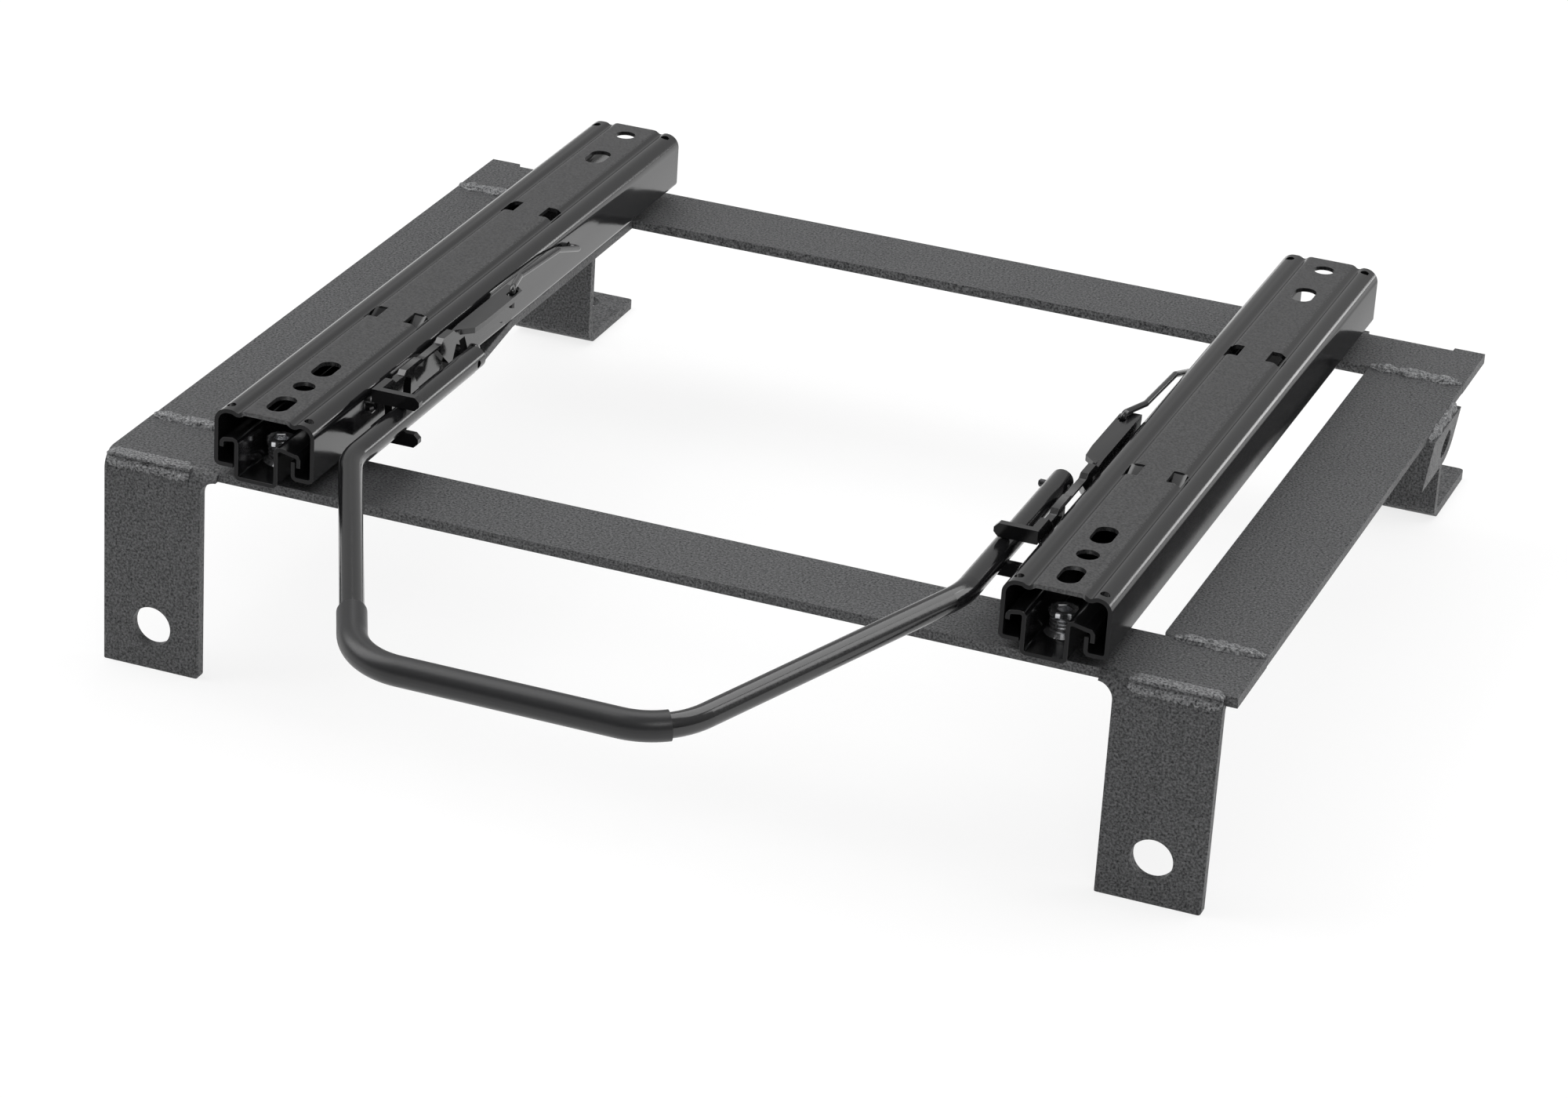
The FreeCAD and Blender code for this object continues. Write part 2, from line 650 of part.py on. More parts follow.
def make_right_side_plate():
    """Narrow plate at the right end of the frame, clear of the right slider."""
    body = new_body("right_side_plate")
    outer = dims.frame_half_width
    inner = outer - dims.right_plate_width
    plate = sketch_on(body, "XY_Plane")
    outline(
        plate,
        [
            (inner, dims.bar_width),
            (outer, dims.bar_width),
            (outer, rear_bar_start),
            (inner, rear_bar_start),
        ],
    )
    pad(body, plate, dims.plate_gauge, reverse=True)

    def at_inner_front(middle, along):
        return near(middle.x, inner) and near(middle.y, dims.bar_width) and abs(along.z) > 0.9

    fillet(body, dims.right_plate_corner, at_inner_front)


def make_buckle_tab():
    """Leaning tab under the right side plate that takes the belt buckle's bolt."""
    name = "buckle_tab"
    gauge = dims.tab_gauge.value
    length = dims.tab_length.value
    drop = dims.tab_drop.value
    corner = dims.tab_corner.value
    plate = Part.makeBox(gauge, length, drop, Vector(-gauge, 0, -drop))
    foot = [edge for edge in plate.Edges if is_cross_edge(edge, -drop)]
    rear = [edge for edge in foot if abs(edge.CenterOfMass.y - length) < 1e-6]
    plate = plate.makeFillet(corner, rear)
    hole_y = length - dims.tab_hole_back.value
    hole_start = Vector(-gauge - OVERRUN, hole_y, -dims.tab_hole_drop.value)
    depth = gauge + 2 * OVERRUN
    hole = Part.makeCylinder(dims.tab_hole.value / 2, depth, hole_start, Vector(1, 0, 0))
    plate = plate.cut(hole)
    plate.rotate(Vector(0, 0, 0), Vector(0, 1, 0), dims.tab_tilt.value)
    # The root is cut level, so that it meets the side plate's underside flat.
    root_x = dims.frame_half_width.value + dims.tab_edge_stand.value
    root_y = dims.bar_width.value + dims.tab_start.value
    rise = gauge * math.sin(math.radians(dims.tab_tilt.value))
    plate.translate(Vector(root_x, root_y, rise - dims.plate_gauge.value))
    above = Part.makeBox(4 * gauge, length + 2 * OVERRUN, drop)
    above.translate(Vector(root_x - 2 * gauge, root_y - OVERRUN, -dims.plate_gauge.value))
    shaped(name, plate.cut(above))


def is_cross_edge(edge, height):
    centre = edge.CenterOfMass
    along = edge.tangentAt(edge.FirstParameter)
    return abs(along.x) > 0.9 and abs(centre.z - height) < 1e-6


# Shape of every bead: distance between its swells as a share of its width, the angle
# between swells in radians, the share left at its ends, and the facets across its arch
BEAD_STEP = 0.9
BEAD_BEAT = 2.4
BEAD_END = 0.45
BEAD_FACETS = 4


def weld_bead(start, end, width, height, lean=0.0):
    """A hand-laid bead: a low arch lofted along its run, swelling and narrowing as it goes.

    lean turns the arch about the run, in degrees.
    """
    run = end - start
    along = Vector(run.x, run.y, run.z).normalize()
    across = left_of(along) * math.cos(math.radians(lean))
    across.z = -math.sin(math.radians(lean))
    up = along.cross(across).normalize()
    step = width * BEAD_STEP
    count = max(4, round(run.Length / step))
    sections = []
    for number in range(count + 1):
        share = number / count
        swell = 1 + dims.weld_ripple.value * math.sin(BEAD_BEAT * number)
        taper = BEAD_END if number in (0, count) else 1.0
        middle = start + run * share
        arch = []
        for corner in range(BEAD_FACETS + 1):
            angle = math.pi * corner / BEAD_FACETS
            side = across * math.cos(angle) * width / 2 * swell * taper
            lift = up * math.sin(angle) * height * swell * taper
            arch.append(middle + side + lift)
        sections.append(Part.makePolygon(arch + [arch[0]]))
    return Part.makeLoft(sections, True, True)


def make_seam_welds():
    """Beads across the top of the four butt joints between crossbars and side plates."""
    width = dims.weld_width.value
    height = dims.weld_height.value
    outer = (dims.frame_half_width - dims.weld_end).value
    left_inner = (dims.left_plate_width - dims.frame_half_width - dims.weld_end).value
    left_rear_inner = left_inner - dims.left_plate_step.value
    channel_start = -rail_place.value - dims.channel_left.value - width / 2
    right_inner = (dims.frame_half_width - dims.right_plate_width + dims.weld_end).value
    front = dims.bar_width.value
    rear = rear_bar_start.value
    channel_end = -rail_place.value + dims.channel_right.value + width / 2
    seams = {
        "front_left_weld": [(-outer, channel_start, front), (channel_end, left_inner, front)],
        "rear_left_weld": [(-outer, channel_start, rear)],
        "front_right_weld": [(right_inner + dims.right_plate_corner.value, outer, front)],
        "rear_right_weld": [(right_inner, outer, rear)],
    }
    for name, runs in seams.items():
        beads = []
        for low, high, seam_y in runs:
            beads.append(weld_bead(Vector(low, seam_y, 0), Vector(high, seam_y, 0), width, height))
        shaped(name, Part.makeCompound(beads) if len(beads) > 1 else beads[0])


# Share of a front leg's width that its bead covers
FOLD_BEAD_SHARE = 0.8


def make_leg_welds():
    """Beads across the outside of the front legs' folds."""
    width = dims.weld_width.value
    height = dims.weld_height.value
    stand = dims.front_leg_stand.value
    outer_radius = bend_outer.value
    half_turn = math.sqrt(0.5)
    crest_y = outer_radius - stand - outer_radius * half_turn
    crest_z = outer_radius * half_turn - outer_radius
    right_end = dims.frame_half_width - dims.right_leg_inset - dims.weld_end
    legs = {
        "left_leg_weld": ((dims.weld_end - dims.frame_half_width).value, 1),
        "right_leg_weld": (right_end.value, -1),
    }
    length = dims.front_leg_width.value * FOLD_BEAD_SHARE
    solid_edge = Part.makeCylinder(
        outer_radius,
        2 * dims.frame_half_width.value,
        Vector(-dims.frame_half_width.value, outer_radius - stand, -outer_radius),
        Vector(1, 0, 0),
    )
    for name, (start, way) in legs.items():
        low, high = sorted((start, start + way * length))
        first = Vector(low, crest_y, crest_z)
        last = Vector(high, crest_y, crest_z)
        bead = weld_bead(first, last, width, height, lean=45.0)
        shaped(name, bead.cut(solid_edge))


def make_tab_weld():
    """Bead between the side plate's edge and the root of the buckle tab."""
    width = dims.weld_width.value
    start_y = dims.bar_width.value + dims.tab_start.value
    end_y = start_y + dims.tab_length.value
    x = dims.frame_half_width.value
    z = -dims.plate_gauge.value
    height = (dims.tab_edge_stand * (1 - dims.weld_ripple)).value
    bead = weld_bead(Vector(x, end_y, z), Vector(x, start_y, z), width, height, lean=90.0)
    tab = [piece for piece in pieces if piece.Label == "buckle_tab"][0]
    shaped("tab_weld", bead.cut(unplaced(tab)))


def unplaced(piece):
    """A piece's shape back at the place where it was drawn."""
    shape = piece.Shape.copy()
    shape.Placement = FreeCAD.Placement()
    return shape


# Sliders


def upper_rail_path():
    """Centre line of the upper rail's section, from the left lip to the curled right lip."""
    half = dims.rail_gauge / 2
    left = half - dims.upper_left_reach
    right = dims.upper_right_reach - half
    lip = dims.lip_height + half
    ridge = dims.upper_height - dims.ridge_drop - half
    plateau = dims.upper_height - half
    groove = dims.upper_height - dims.groove_drop - half
    inner = dims.groove_place - dims.groove_half
    outer = dims.groove_place + dims.groove_half
    gentle = dims.rail_bend + dims.rail_gauge
    hook_inner = dims.hook_reach - dims.rail_gauge
    curl = hook_inner - dims.rail_gap - half
    flange_under = dims.flange_top - dims.hook_slope - dims.rail_gauge
    return [
        (-dims.channel_left - dims.rail_gap, lip),
        (left, lip),
        (left, ridge, dims.rail_shoulder),
        (-outer, ridge, gentle),
        (-dims.groove_place, groove, gentle),
        (-inner, plateau, gentle),
        (inner, plateau, gentle),
        (dims.groove_place, groove, gentle),
        (outer, ridge, gentle),
        (right, ridge, dims.rail_shoulder),
        (right, lip),
        (curl, lip),
        (curl, flange_under - dims.rail_gap - half),
    ]


def lower_rail_path():
    """Centre line of the lower rail's section, from the left flange to the right hook."""
    half = dims.rail_gauge / 2
    left_end = dims.rail_gauge + dims.rail_gap + half - dims.upper_left_reach
    crest = dims.flange_top - half
    left_wall = half - dims.channel_left
    right_wall = dims.channel_right - half
    hook = dims.hook_reach - half
    return [
        (left_end, dims.left_flange_end),
        (left_end, crest - dims.left_flange_fall),
        (left_wall, crest),
        (left_wall, half),
        (right_wall, half),
        (right_wall, crest),
        (hook, crest - dims.hook_slope),
        (hook, dims.hook_end),
    ]


def make_lower_rail(name, side):
    """Channel bolted to the crossbars, its flanges caught inside the upper rail."""
    body = new_body(name, rail_place * side)
    section = sketch_on(body, "XZ_Plane", dims.rail_overhang)
    strip(section, lower_rail_path(), dims.rail_gauge, dims.rail_bend)
    pad(body, section, dims.rail_length, reverse=True)
    holes = sketch_on(body, "XY_Plane", dims.rail_gauge + OVERRUN)
    for y in (dims.slider_bolt_front, slider_bolt_rear):
        circle(holes, channel_middle, y, dims.slider_bolt + dims.bolt_clearance * 2)
    pocket(body, holes, dims.rail_gauge + 2 * OVERRUN)


def slot(sketch, x, y, length, width):
    """A slot with round ends, long in Y."""
    radius = width.value / 2
    straight = length.value / 2 - radius
    rear = Vector(x, y.value + straight, 0)
    front = Vector(x, y.value - straight, 0)
    right = Vector(radius, 0, 0)
    tip = Vector(0, radius, 0)
    loop = [
        ("bend", rear + right, rear + tip, rear - right, width / 2),
        ("bend", front - right, front - tip, front + right, width / 2),
    ]
    draw_loop(sketch, loop)


def make_upper_rail(name, side):
    """Wide channel that carries the seat and slides on the lower rail.

    Both sliders are the same part, so the two rails differ only in place and in the
    openings that their latch and spring use in the wall that faces the middle.
    """
    body = new_body(name, rail_place * side)
    section = sketch_on(body, "XZ_Plane", dims.rail_overhang)
    strip(section, upper_rail_path(), dims.rail_gauge, dims.rail_bend)
    pad(body, section, dims.rail_length, reverse=True)
    top = dims.upper_height + OVERRUN
    depth = dims.rail_gauge + dims.groove_drop + 2 * OVERRUN
    slots = sketch_on(body, "XY_Plane", top)
    for y in (dims.seat_slot_one, dims.seat_slot_two, dims.seat_slot_rear):
        slot(slots, 0, y, dims.seat_slot_length, dims.seat_slot_width)
    pocket(body, slots, depth)
    rounds = sketch_on(body, "XY_Plane", top)
    for y in (dims.seat_hole_front, dims.seat_hole_rear):
        circle(rounds, 0, y, dims.seat_slot_width)
    ridge_left = dims.rail_shoulder - dims.upper_left_reach
    ridge_right = dims.upper_right_reach - dims.rail_shoulder
    for y in (dims.punch_edge - dims.rail_overhang, rail_end - dims.punch_edge):
        for x in (ridge_left, ridge_right):
            circle(rounds, x, y, dims.punch_width)
    pocket(body, rounds, depth)
    lances = sketch_on(body, "XY_Plane", top)
    for y in (dims.lance_front, dims.lance_rear):
        for way in (-1, 1):
            low = y - dims.lance_length / 2
            high = y + dims.lance_length / 2
            near_x = (dims.groove_place - dims.lance_width) * way
            far_x = dims.groove_place * way
            corners = [(near_x, low), (far_x, low), (far_x, high), (near_x, high)]
            outline(lances, corners)
    pocket(body, lances, depth)
    for way in (-1, 1):
        add_tongue(body, way)
    cut_wall_openings(body, -side)


def add_tongue(body, way):
    """Tongue of a front lanced opening, bent down from the rear edge of the opening.

    way is 1 for the right one of the pair.
    """
    rear = dims.lance_front + dims.lance_length / 2
    front = rear - dims.lance_length + dims.rail_gauge
    high = dims.upper_height - dims.rail_gap
    low = high - dims.rail_gauge
    inner = dims.groove_place - dims.lance_width
    start = inner if way > 0 else -(dims.groove_place - dims.rail_gap)
    tongue = sketch_on(body, "YZ_Plane", start)
    outline(
        tongue,
        [
            (rear + dims.rail_gauge / 2, low),
            (rear + dims.rail_gauge / 2, high),
            (rear, high),
            (front, high - dims.lance_fall),
            (front, low - dims.lance_fall),
            (rear, low),
        ],
    )
    pad(body, tongue, dims.lance_width - dims.rail_gap)


def cut_wall_openings(body, way):
    """Openings in the wall that faces the middle: pivot stud, screw and spring hook.

    way is 1 where that wall is the right one.
    """
    reach = dims.upper_right_reach if way > 0 else dims.upper_left_reach
    start = reach + OVERRUN if way > 0 else dims.rail_gauge + OVERRUN - reach
    openings = sketch_on(body, "YZ_Plane", start)
    circle(openings, dims.pivot_y, dims.pivot_height, stud_neck())
    circle(openings, dims.stop_screw_y, dims.stop_screw_height, dims.stop_screw)
    hook_hole = dims.spring_wire + 2 * dims.spring_hook_fit
    circle(openings, dims.spring_hook_y, dims.spring_hook_height, hook_hole)
    pocket(body, openings, dims.rail_gauge + 2 * OVERRUN)


def stud_neck():
    return dims.pivot_size - 2 * dims.stud_shoulder


def make_track_balls(name, side):
    """Bearing balls: large ones over the left lip and small ones beside the right hook."""
    gauge = dims.rail_gauge.value
    gap = dims.ball_clearance.value
    lip_top = (dims.lip_height + dims.rail_gauge).value
    outer = gauge - dims.upper_left_reach.value
    inner = -dims.channel_left.value
    large = (inner - outer) / 2 - gap
    hook_face = dims.hook_reach.value
    wall_face = (dims.upper_right_reach - dims.rail_gauge).value
    small = (wall_face - hook_face) / 2 - gap
    tracks = (
        ((outer + inner) / 2, lip_top + gap + large, large),
        ((hook_face + wall_face) / 2, lip_top + gap + small, small),
    )
    first = dims.ball_pack_place.value - dims.rail_overhang.value
    last = rail_end.value - dims.ball_pack_place.value
    pitch = dims.ball_pitch.value
    balls = []
    for x, z, radius in tracks:
        for y in (first, first + pitch, last - pitch, last):
            balls.append(Part.makeSphere(radius, Vector(x, y, z)))
    shaped(name, Part.makeCompound(balls), rail_place * side)


def hex_prism(across, height, centre):
    """A hexagonal prism standing on its centre point, its flats facing along X."""
    corner_radius = across / math.sqrt(3)
    corners = []
    for number in range(7):
        angle = math.radians(60 * number + 30)
        offset = Vector(math.cos(angle), math.sin(angle), 0) * corner_radius
        corners.append(centre + offset)
    return Part.Face(Part.makePolygon(corners)).extrude(Vector(0, 0, height))


def make_slider_bolts(name, side):
    """Flanged bolts, with their nuts, that hold a lower rail to both crossbars."""
    floor = dims.rail_gauge.value
    shank = dims.slider_bolt.value / 2
    under = -dims.plate_gauge.value
    nut_low = under - dims.nut_height.value
    end = nut_low - dims.thread_end.value
    bolts = []
    for y in (dims.slider_bolt_front.value, slider_bolt_rear.value):
        seat = Vector(channel_middle.value, y, floor)
        flange = Part.makeCone(
            dims.bolt_flange.value / 2,
            dims.bolt_hex.value / 2,
            dims.bolt_flange_height.value,
            seat,
        )
        head = hex_prism(dims.bolt_hex.value, dims.bolt_head_height.value, seat)
        corner = dims.bolt_hex.value / math.sqrt(3)
        height = dims.bolt_head_height.value
        bevel = dims.bolt_crown.value
        crown = Part.makeCylinder(corner, height - bevel, seat)
        top = Part.makeCone(corner, corner - 2 * bevel, bevel, seat + Vector(0, 0, height - bevel))
        head = head.common(crown.fuse(top))
        stem = Part.makeCylinder(shank, floor - end, Vector(seat.x, y, end))
        nut = hex_prism(dims.nut_hex.value, dims.nut_height.value, Vector(seat.x, y, nut_low))
        bolts.append(flange.fuse([head, stem, nut]).removeSplitter())
    shaped(name, Part.makeCompound(bolts), rail_place * side)


# Latch levers, mirrored for the two sides


def lever_back(side):
    """Distance from the middle to the face of a lever that looks at its rail."""
    reach = dims.upper_right_reach if side < 0 else dims.upper_left_reach
    gap = dims.left_lever_gap if side < 0 else dims.right_lever_gap
    return rail_place - reach - gap


def pad_outwards(body, sketch, side, thickness):
    """Pad a YZ sketch that sits on a lever's inner face towards its rail."""
    pad(body, sketch, thickness, reverse=side < 0)


def make_lever(name, side):
    """Pressed latch lever: fork for the release bar, neck, pivot leg and spring tail."""
    body = new_body(name)
    back = lever_back(side)
    face = back - dims.lever_gauge
    plate = sketch_on(body, "YZ_Plane", face * side)
    outline(plate, lever_outline())
    pad_outwards(body, plate, side, dims.lever_gauge)
    for corners in lever_windows():
        window = sketch_on(body, "YZ_Plane", (face - OVERRUN) * side)
        outline(window, corners)
        pocket(body, window, dims.lever_gauge + 2 * OVERRUN, reverse=side > 0)
    tube_low = dims.tube_arm_height - dims.tube_size / 2
    tube_high = dims.tube_arm_height + dims.tube_size / 2
    lower_top = tube_low - dims.prong_clearance
    upper_low = tube_high + dims.prong_clearance
    add_prong(body, side, face, lower_top - dims.prong_height, lower_top)
    add_prong(body, side, face, upper_low, upper_low + dims.prong_height)
    add_tail_flange(body, side, face)
    bore = sketch_on(body, "YZ_Plane", (face - OVERRUN) * side)
    stud_hole = dims.pivot_size + dims.pivot_fit * 2
    circle(bore, dims.pivot_y, dims.pivot_height, stud_hole)
    pocket(body, bore, dims.lever_gauge + 2 * OVERRUN, reverse=side > 0)


# Steps in a lever's outline that the stamping tool leaves: a corner's bevel, the low and
# the high step of the upper edge, and the length of a sloping step
TOOL_BEVEL = 3
LOW_STEP = 0.6
HIGH_STEP = 1.5
STEP_RUN = 2


def lever_outline():
    """Side view of a lever, front to rear, as (y, z)."""
    front = dims.lever_front
    low = dims.lever_plate_low - dims.prong_height / 2
    high = dims.lever_plate_high
    plate_end = dims.lever_plate_end
    bridge = dims.lever_bridge_low
    neck_end = dims.lever_leg_start
    leg_end = dims.lever_leg_end
    leg_bottom = dims.pivot_height - dims.pivot_size
    mouth_low = dims.tube_arm_height - dims.tube_size / 2 - dims.prong_clearance
    mouth_high = dims.tube_arm_height + dims.tube_size / 2 + dims.prong_clearance
    mouth_end = front + dims.fork_depth
    hook_start = dims.spring_hole_y
    tail = dims.lever_tail
    tail_low = dims.lever_tail_low
    rise = high - HIGH_STEP
    return [
        (front, low),
        (plate_end - 5 * TOOL_BEVEL, low),
        (plate_end - TOOL_BEVEL, dims.lever_plate_low),
        (plate_end, dims.lever_plate_low + 2 * TOOL_BEVEL),
        (plate_end + TOOL_BEVEL, bridge),
        (neck_end - TOOL_BEVEL, bridge),
        (neck_end, bridge - 2 * TOOL_BEVEL),
        (neck_end, leg_bottom + TOOL_BEVEL),
        (neck_end + TOOL_BEVEL, leg_bottom),
        (leg_end - TOOL_BEVEL, leg_bottom),
        (leg_end, leg_bottom + TOOL_BEVEL),
        (leg_end, dims.pivot_height + STEP_RUN),
        (leg_end + STEP_RUN, tail_low - LOW_STEP),
        (leg_end + 5 * STEP_RUN, tail_low),
        (hook_start - STEP_RUN, tail_low - HIGH_STEP),
        (hook_start + LOW_STEP, tail_low - 2 * STEP_RUN),
        (tail - HIGH_STEP, tail_low - 2 * STEP_RUN),
        (tail, tail_low - STEP_RUN),
        (tail - STEP_RUN, tail_low + STEP_RUN),
        (tail, high - 2 * HIGH_STEP),
        (tail, lever_tail_top),
        (neck_end - TOOL_BEVEL, lever_tail_top),
        (neck_end - 3 * TOOL_BEVEL, rise),
        (plate_end + TOOL_BEVEL, rise),
        (plate_end, high + LOW_STEP),
        (plate_end - 3 * TOOL_BEVEL, high + LOW_STEP),
        (plate_end - 3 * TOOL_BEVEL - STEP_RUN, lever_tail_top),
        (mouth_end + 9 * TOOL_BEVEL, lever_tail_top),
        (mouth_end + 9 * TOOL_BEVEL - STEP_RUN, high),
        (mouth_end + 4 * TOOL_BEVEL, high),
        (mouth_end + 4 * TOOL_BEVEL - STEP_RUN, rise),
        (mouth_end + TOOL_BEVEL, rise),
        (mouth_end, mouth_high + dims.prong_height),
        (front, mouth_high + dims.prong_height),
        (front, mouth_high),
        (mouth_end, mouth_high),
        (mouth_end, mouth_low),
        (front, mouth_low),
    ]


def lever_windows():
    """The two windows in a lever's plate, as (y, z): an arched one and a sloping one."""
    low = dims.lever_plate_low + dims.prong_height / 2
    high = dims.lever_plate_high - STEP_RUN
    first = dims.window_front
    last = first + dims.window_width
    slope = last + dims.window_rib
    rear = dims.lever_plate_end - 2 * TOOL_BEVEL
    arch = [
        (first, low),
        (last, low),
        (last, high - TOOL_BEVEL),
        (last - STEP_RUN, high - LOW_STEP),
        (first + STEP_RUN, high - LOW_STEP),
        (first, high - TOOL_BEVEL),
    ]
    sloping = [
        (slope, low),
        (rear, low),
        (rear + STEP_RUN, low + TOOL_BEVEL),
        (rear - 3 * TOOL_BEVEL, high),
        (last + 2 * HIGH_STEP, high),
        (last + 2 * HIGH_STEP, high - TOOL_BEVEL),
    ]
    return [arch, sloping]


def add_prong(body, side, face, low, high):
    """One prong of the fork, folded in towards the middle with a rounded end."""
    tip = face - (dims.left_prong_reach if side < 0 else dims.right_prong_reach)
    # The sketch lies on the prong's rear face, and the pad runs forwards from it.
    prong = sketch_on(body, "XZ_Plane", -(dims.lever_front + dims.lever_gauge))
    root = face + dims.lever_gauge / 2
    bevel = dims.prong_height / 3
    outline(
        prong,
        [
            (root * side, low),
            ((tip + bevel) * side, low),
            (tip * side, low + bevel),
            (tip * side, high - bevel),
            ((tip + bevel) * side, high),
            (root * side, high),
        ],
    )
    pad(body, prong, dims.lever_gauge)


def add_tail_flange(body, side, face):
    """Flange along the top of the tail, with the slot that holds the spring wire."""
    inner = face - dims.lever_flange_reach
    outer = face + dims.lever_gauge / 2
    start = dims.lever_leg_start - TOOL_BEVEL
    flange = sketch_on(body, "XY_Plane", lever_tail_top)
    outline(
        flange,
        [
            (outer * side, start - 2 * TOOL_BEVEL),
            ((inner + LOW_STEP) * side, start),
            (inner * side, start + 3 * TOOL_BEVEL),
            (inner * side, dims.lever_tail - TOOL_BEVEL),
            ((inner + TOOL_BEVEL) * side, dims.lever_tail),
            (outer * side, dims.lever_tail),
        ],
    )
    pad(body, flange, dims.lever_flange_gauge, reverse=True)
    opening = sketch_on(body, "XY_Plane", lever_tail_top + OVERRUN)
    width = dims.spring_wire + 2 * dims.spring_clearance
    middle = face - dims.lever_flange_reach / 2
    slot(opening, middle.value * side, dims.spring_hole_y, dims.spring_hole_length, width)
    pocket(body, opening, dims.lever_flange_gauge + 2 * OVERRUN)


def make_pivot_stud(name, side):
    """Shouldered stud riveted flush into the rail's wall, on which a lever turns."""
    reach = dims.upper_right_reach if side < 0 else dims.upper_left_reach
    wall_outer = (rail_place - reach).value
    wall_inner = wall_outer + dims.rail_gauge.value
    face = (lever_back(side) - dims.lever_gauge).value
    radius = dims.pivot_size.value / 2
    neck = stud_neck().value / 2
    head_radius = dims.pivot_head.value / 2
    under_head = face - dims.ball_clearance.value
    height = dims.pivot_head_height.value
    stations = [
        (under_head - height, radius),
        (under_head - height / 2, head_radius),
        (under_head, head_radius),
        (under_head, radius),
        (wall_outer, radius),
        (wall_outer, neck),
        (wall_inner, neck),
    ]
    make_turned(name, stations, side, dims.pivot_y.value, dims.pivot_height.value)


def make_turned(name, stations, side, y, z):
    """A turned piece on an axis along X; stations are (distance from the middle, radius)."""
    points = [Vector(stations[0][0] * side, y, z)]
    points += [Vector(x * side, y, z + radius) for x, radius in stations]
    points.append(Vector(stations[-1][0] * side, y, z))
    profile = Part.Face(Part.makePolygon(points + [points[0]]))
    return shaped(name, profile.revolve(Vector(0, y, z), Vector(1, 0, 0), 360))


def make_stop_screw(name, side):
    """Screw in the rail's wall, in the mouth of the lever's fork."""
    reach = dims.upper_right_reach if side < 0 else dims.upper_left_reach
    wall_outer = (rail_place - reach).value
    wall_inner = wall_outer + dims.rail_gauge.value
    radius = dims.stop_screw.value / 2
    head = dims.stop_screw_head.value / 2
    stand = dims.left_screw_stand if side < 0 else dims.right_screw_stand
    top = wall_outer - stand.value
    stations = [
        (top, radius),
        (wall_outer - stand.value / 2, head),
        (wall_outer, head),
        (wall_outer, radius),
        (wall_inner, radius),
    ]
    make_turned(name, stations, side, dims.stop_screw_y.value, dims.stop_screw_height.value)


def make_spring_wire(name, side):
    """Bow-shaped wire from the lever's tail to a hole in the rail's wall."""
    face = (lever_back(side) - dims.lever_gauge).value
    reach = dims.upper_right_reach if side < 0 else dims.upper_left_reach
    wall_outer = (rail_place - reach).value
    start_x = face - dims.lever_flange_reach.value / 2
    bow_x = face + dims.lever_gauge.value / 2
    wire = dims.spring_wire.value
    top = lever_tail_top.value
    hook_y = dims.spring_hook_y.value
    hook_z = dims.spring_hook_height.value
    hole_y = dims.spring_hole_y.value
    bow_y = (dims.lever_tail + dims.spring_bow_start).value
    crest_y = (hole_y + hook_y) / 2 + dims.spring_bow_shift.value
    points = [
        Vector(start_x, hole_y, top - dims.spring_end_drop.value),
        Vector(start_x, hole_y, top + dims.spring_rise.value),
        Vector(bow_x, bow_y, top + dims.spring_bow_rise.value),
        Vector(bow_x, crest_y, top - dims.spring_bow_drop.value),
        Vector(bow_x, hook_y, hook_z),
        Vector(wall_outer + dims.rail_gauge.value + wire, hook_y, hook_z),
    ]
    points = [Vector(point.x * side, point.y, point.z) for point in points]
    path = bend_path(points, dims.spring_bend.value)
    shaped(name, swept_rod(path, wire))


# Release bar


def release_bar_points():
    arm_x = arm_place.value
    arm_z = dims.tube_arm_height.value
    grip_x = dims.tube_front_half.value
    grip_y = -dims.tube_front_reach.value
    grip_z = dims.tube_front_height.value
    rear_y = dims.tube_arm_rear.value
    knee_y = -dims.tube_knee_front.value
    right = [
        Vector(grip_x, grip_y, grip_z),
        Vector(arm_x, knee_y, arm_z),
        Vector(arm_x, rear_y, arm_z),
    ]
    left = [Vector(-point.x, point.y, point.z) for point in reversed(right)]
    return left + right


def make_release_bar():
    """Bent tube that joins both levers; its middle is the grip."""
    path = bend_path(release_bar_points(), dims.tube_bend.value)
    outer = swept_rod(path, dims.tube_size.value)
    inner = swept_rod(path, dims.tube_size.value - 2 * dims.tube_wall.value)
    tube = outer.cut(inner)
    hole_y = (dims.tube_arm_rear - dims.pin_hole_edge).value
    hole_z = dims.tube_arm_height.value
    reach = arm_place.value
    for side in (-1, 1):
        start = Vector(reach * side - dims.tube_size.value, hole_y, hole_z)
        length = 2 * dims.tube_size.value
        drill = Part.makeCylinder(dims.pin_hole.value / 2, length, start, Vector(1, 0, 0))
        tube = tube.cut(drill)
    shaped("release_bar", tube)


def make_grip_sleeve():
    """Plastic sleeve shrunk over the grip and its left bend."""
    points = release_bar_points()
    radius = dims.tube_bend.value
    whole = bend_path(points, radius)
    # Edges of the whole path: arm, bend, slope, left grip bend, grip, right grip bend
    slope, left_bend, grip, right_bend = whole.Edges[2:6]
    corner = left_bend.valueAt(left_bend.FirstParameter)
    back = (slope.valueAt(slope.FirstParameter) - corner).normalize()
    start = corner + back * dims.sleeve_left_run.value
    first, last = right_bend.ParameterRange
    share = dims.sleeve_right_share.value
    halfway = right_bend.valueAt(first + (last - first) * share / 2)
    end = right_bend.valueAt(first + (last - first) * share)
    path = Part.Wire(
        [
            Part.LineSegment(start, corner).toShape(),
            left_bend,
            grip,
            Part.Arc(right_bend.valueAt(first), halfway, end).toShape(),
        ]
    )
    inner_size = dims.tube_size.value
    outer = swept_rod(path, inner_size + 2 * dims.sleeve_wall.value)
    bore = swept_rod(path, inner_size)
    shaped("grip_sleeve", outer.cut(bore))


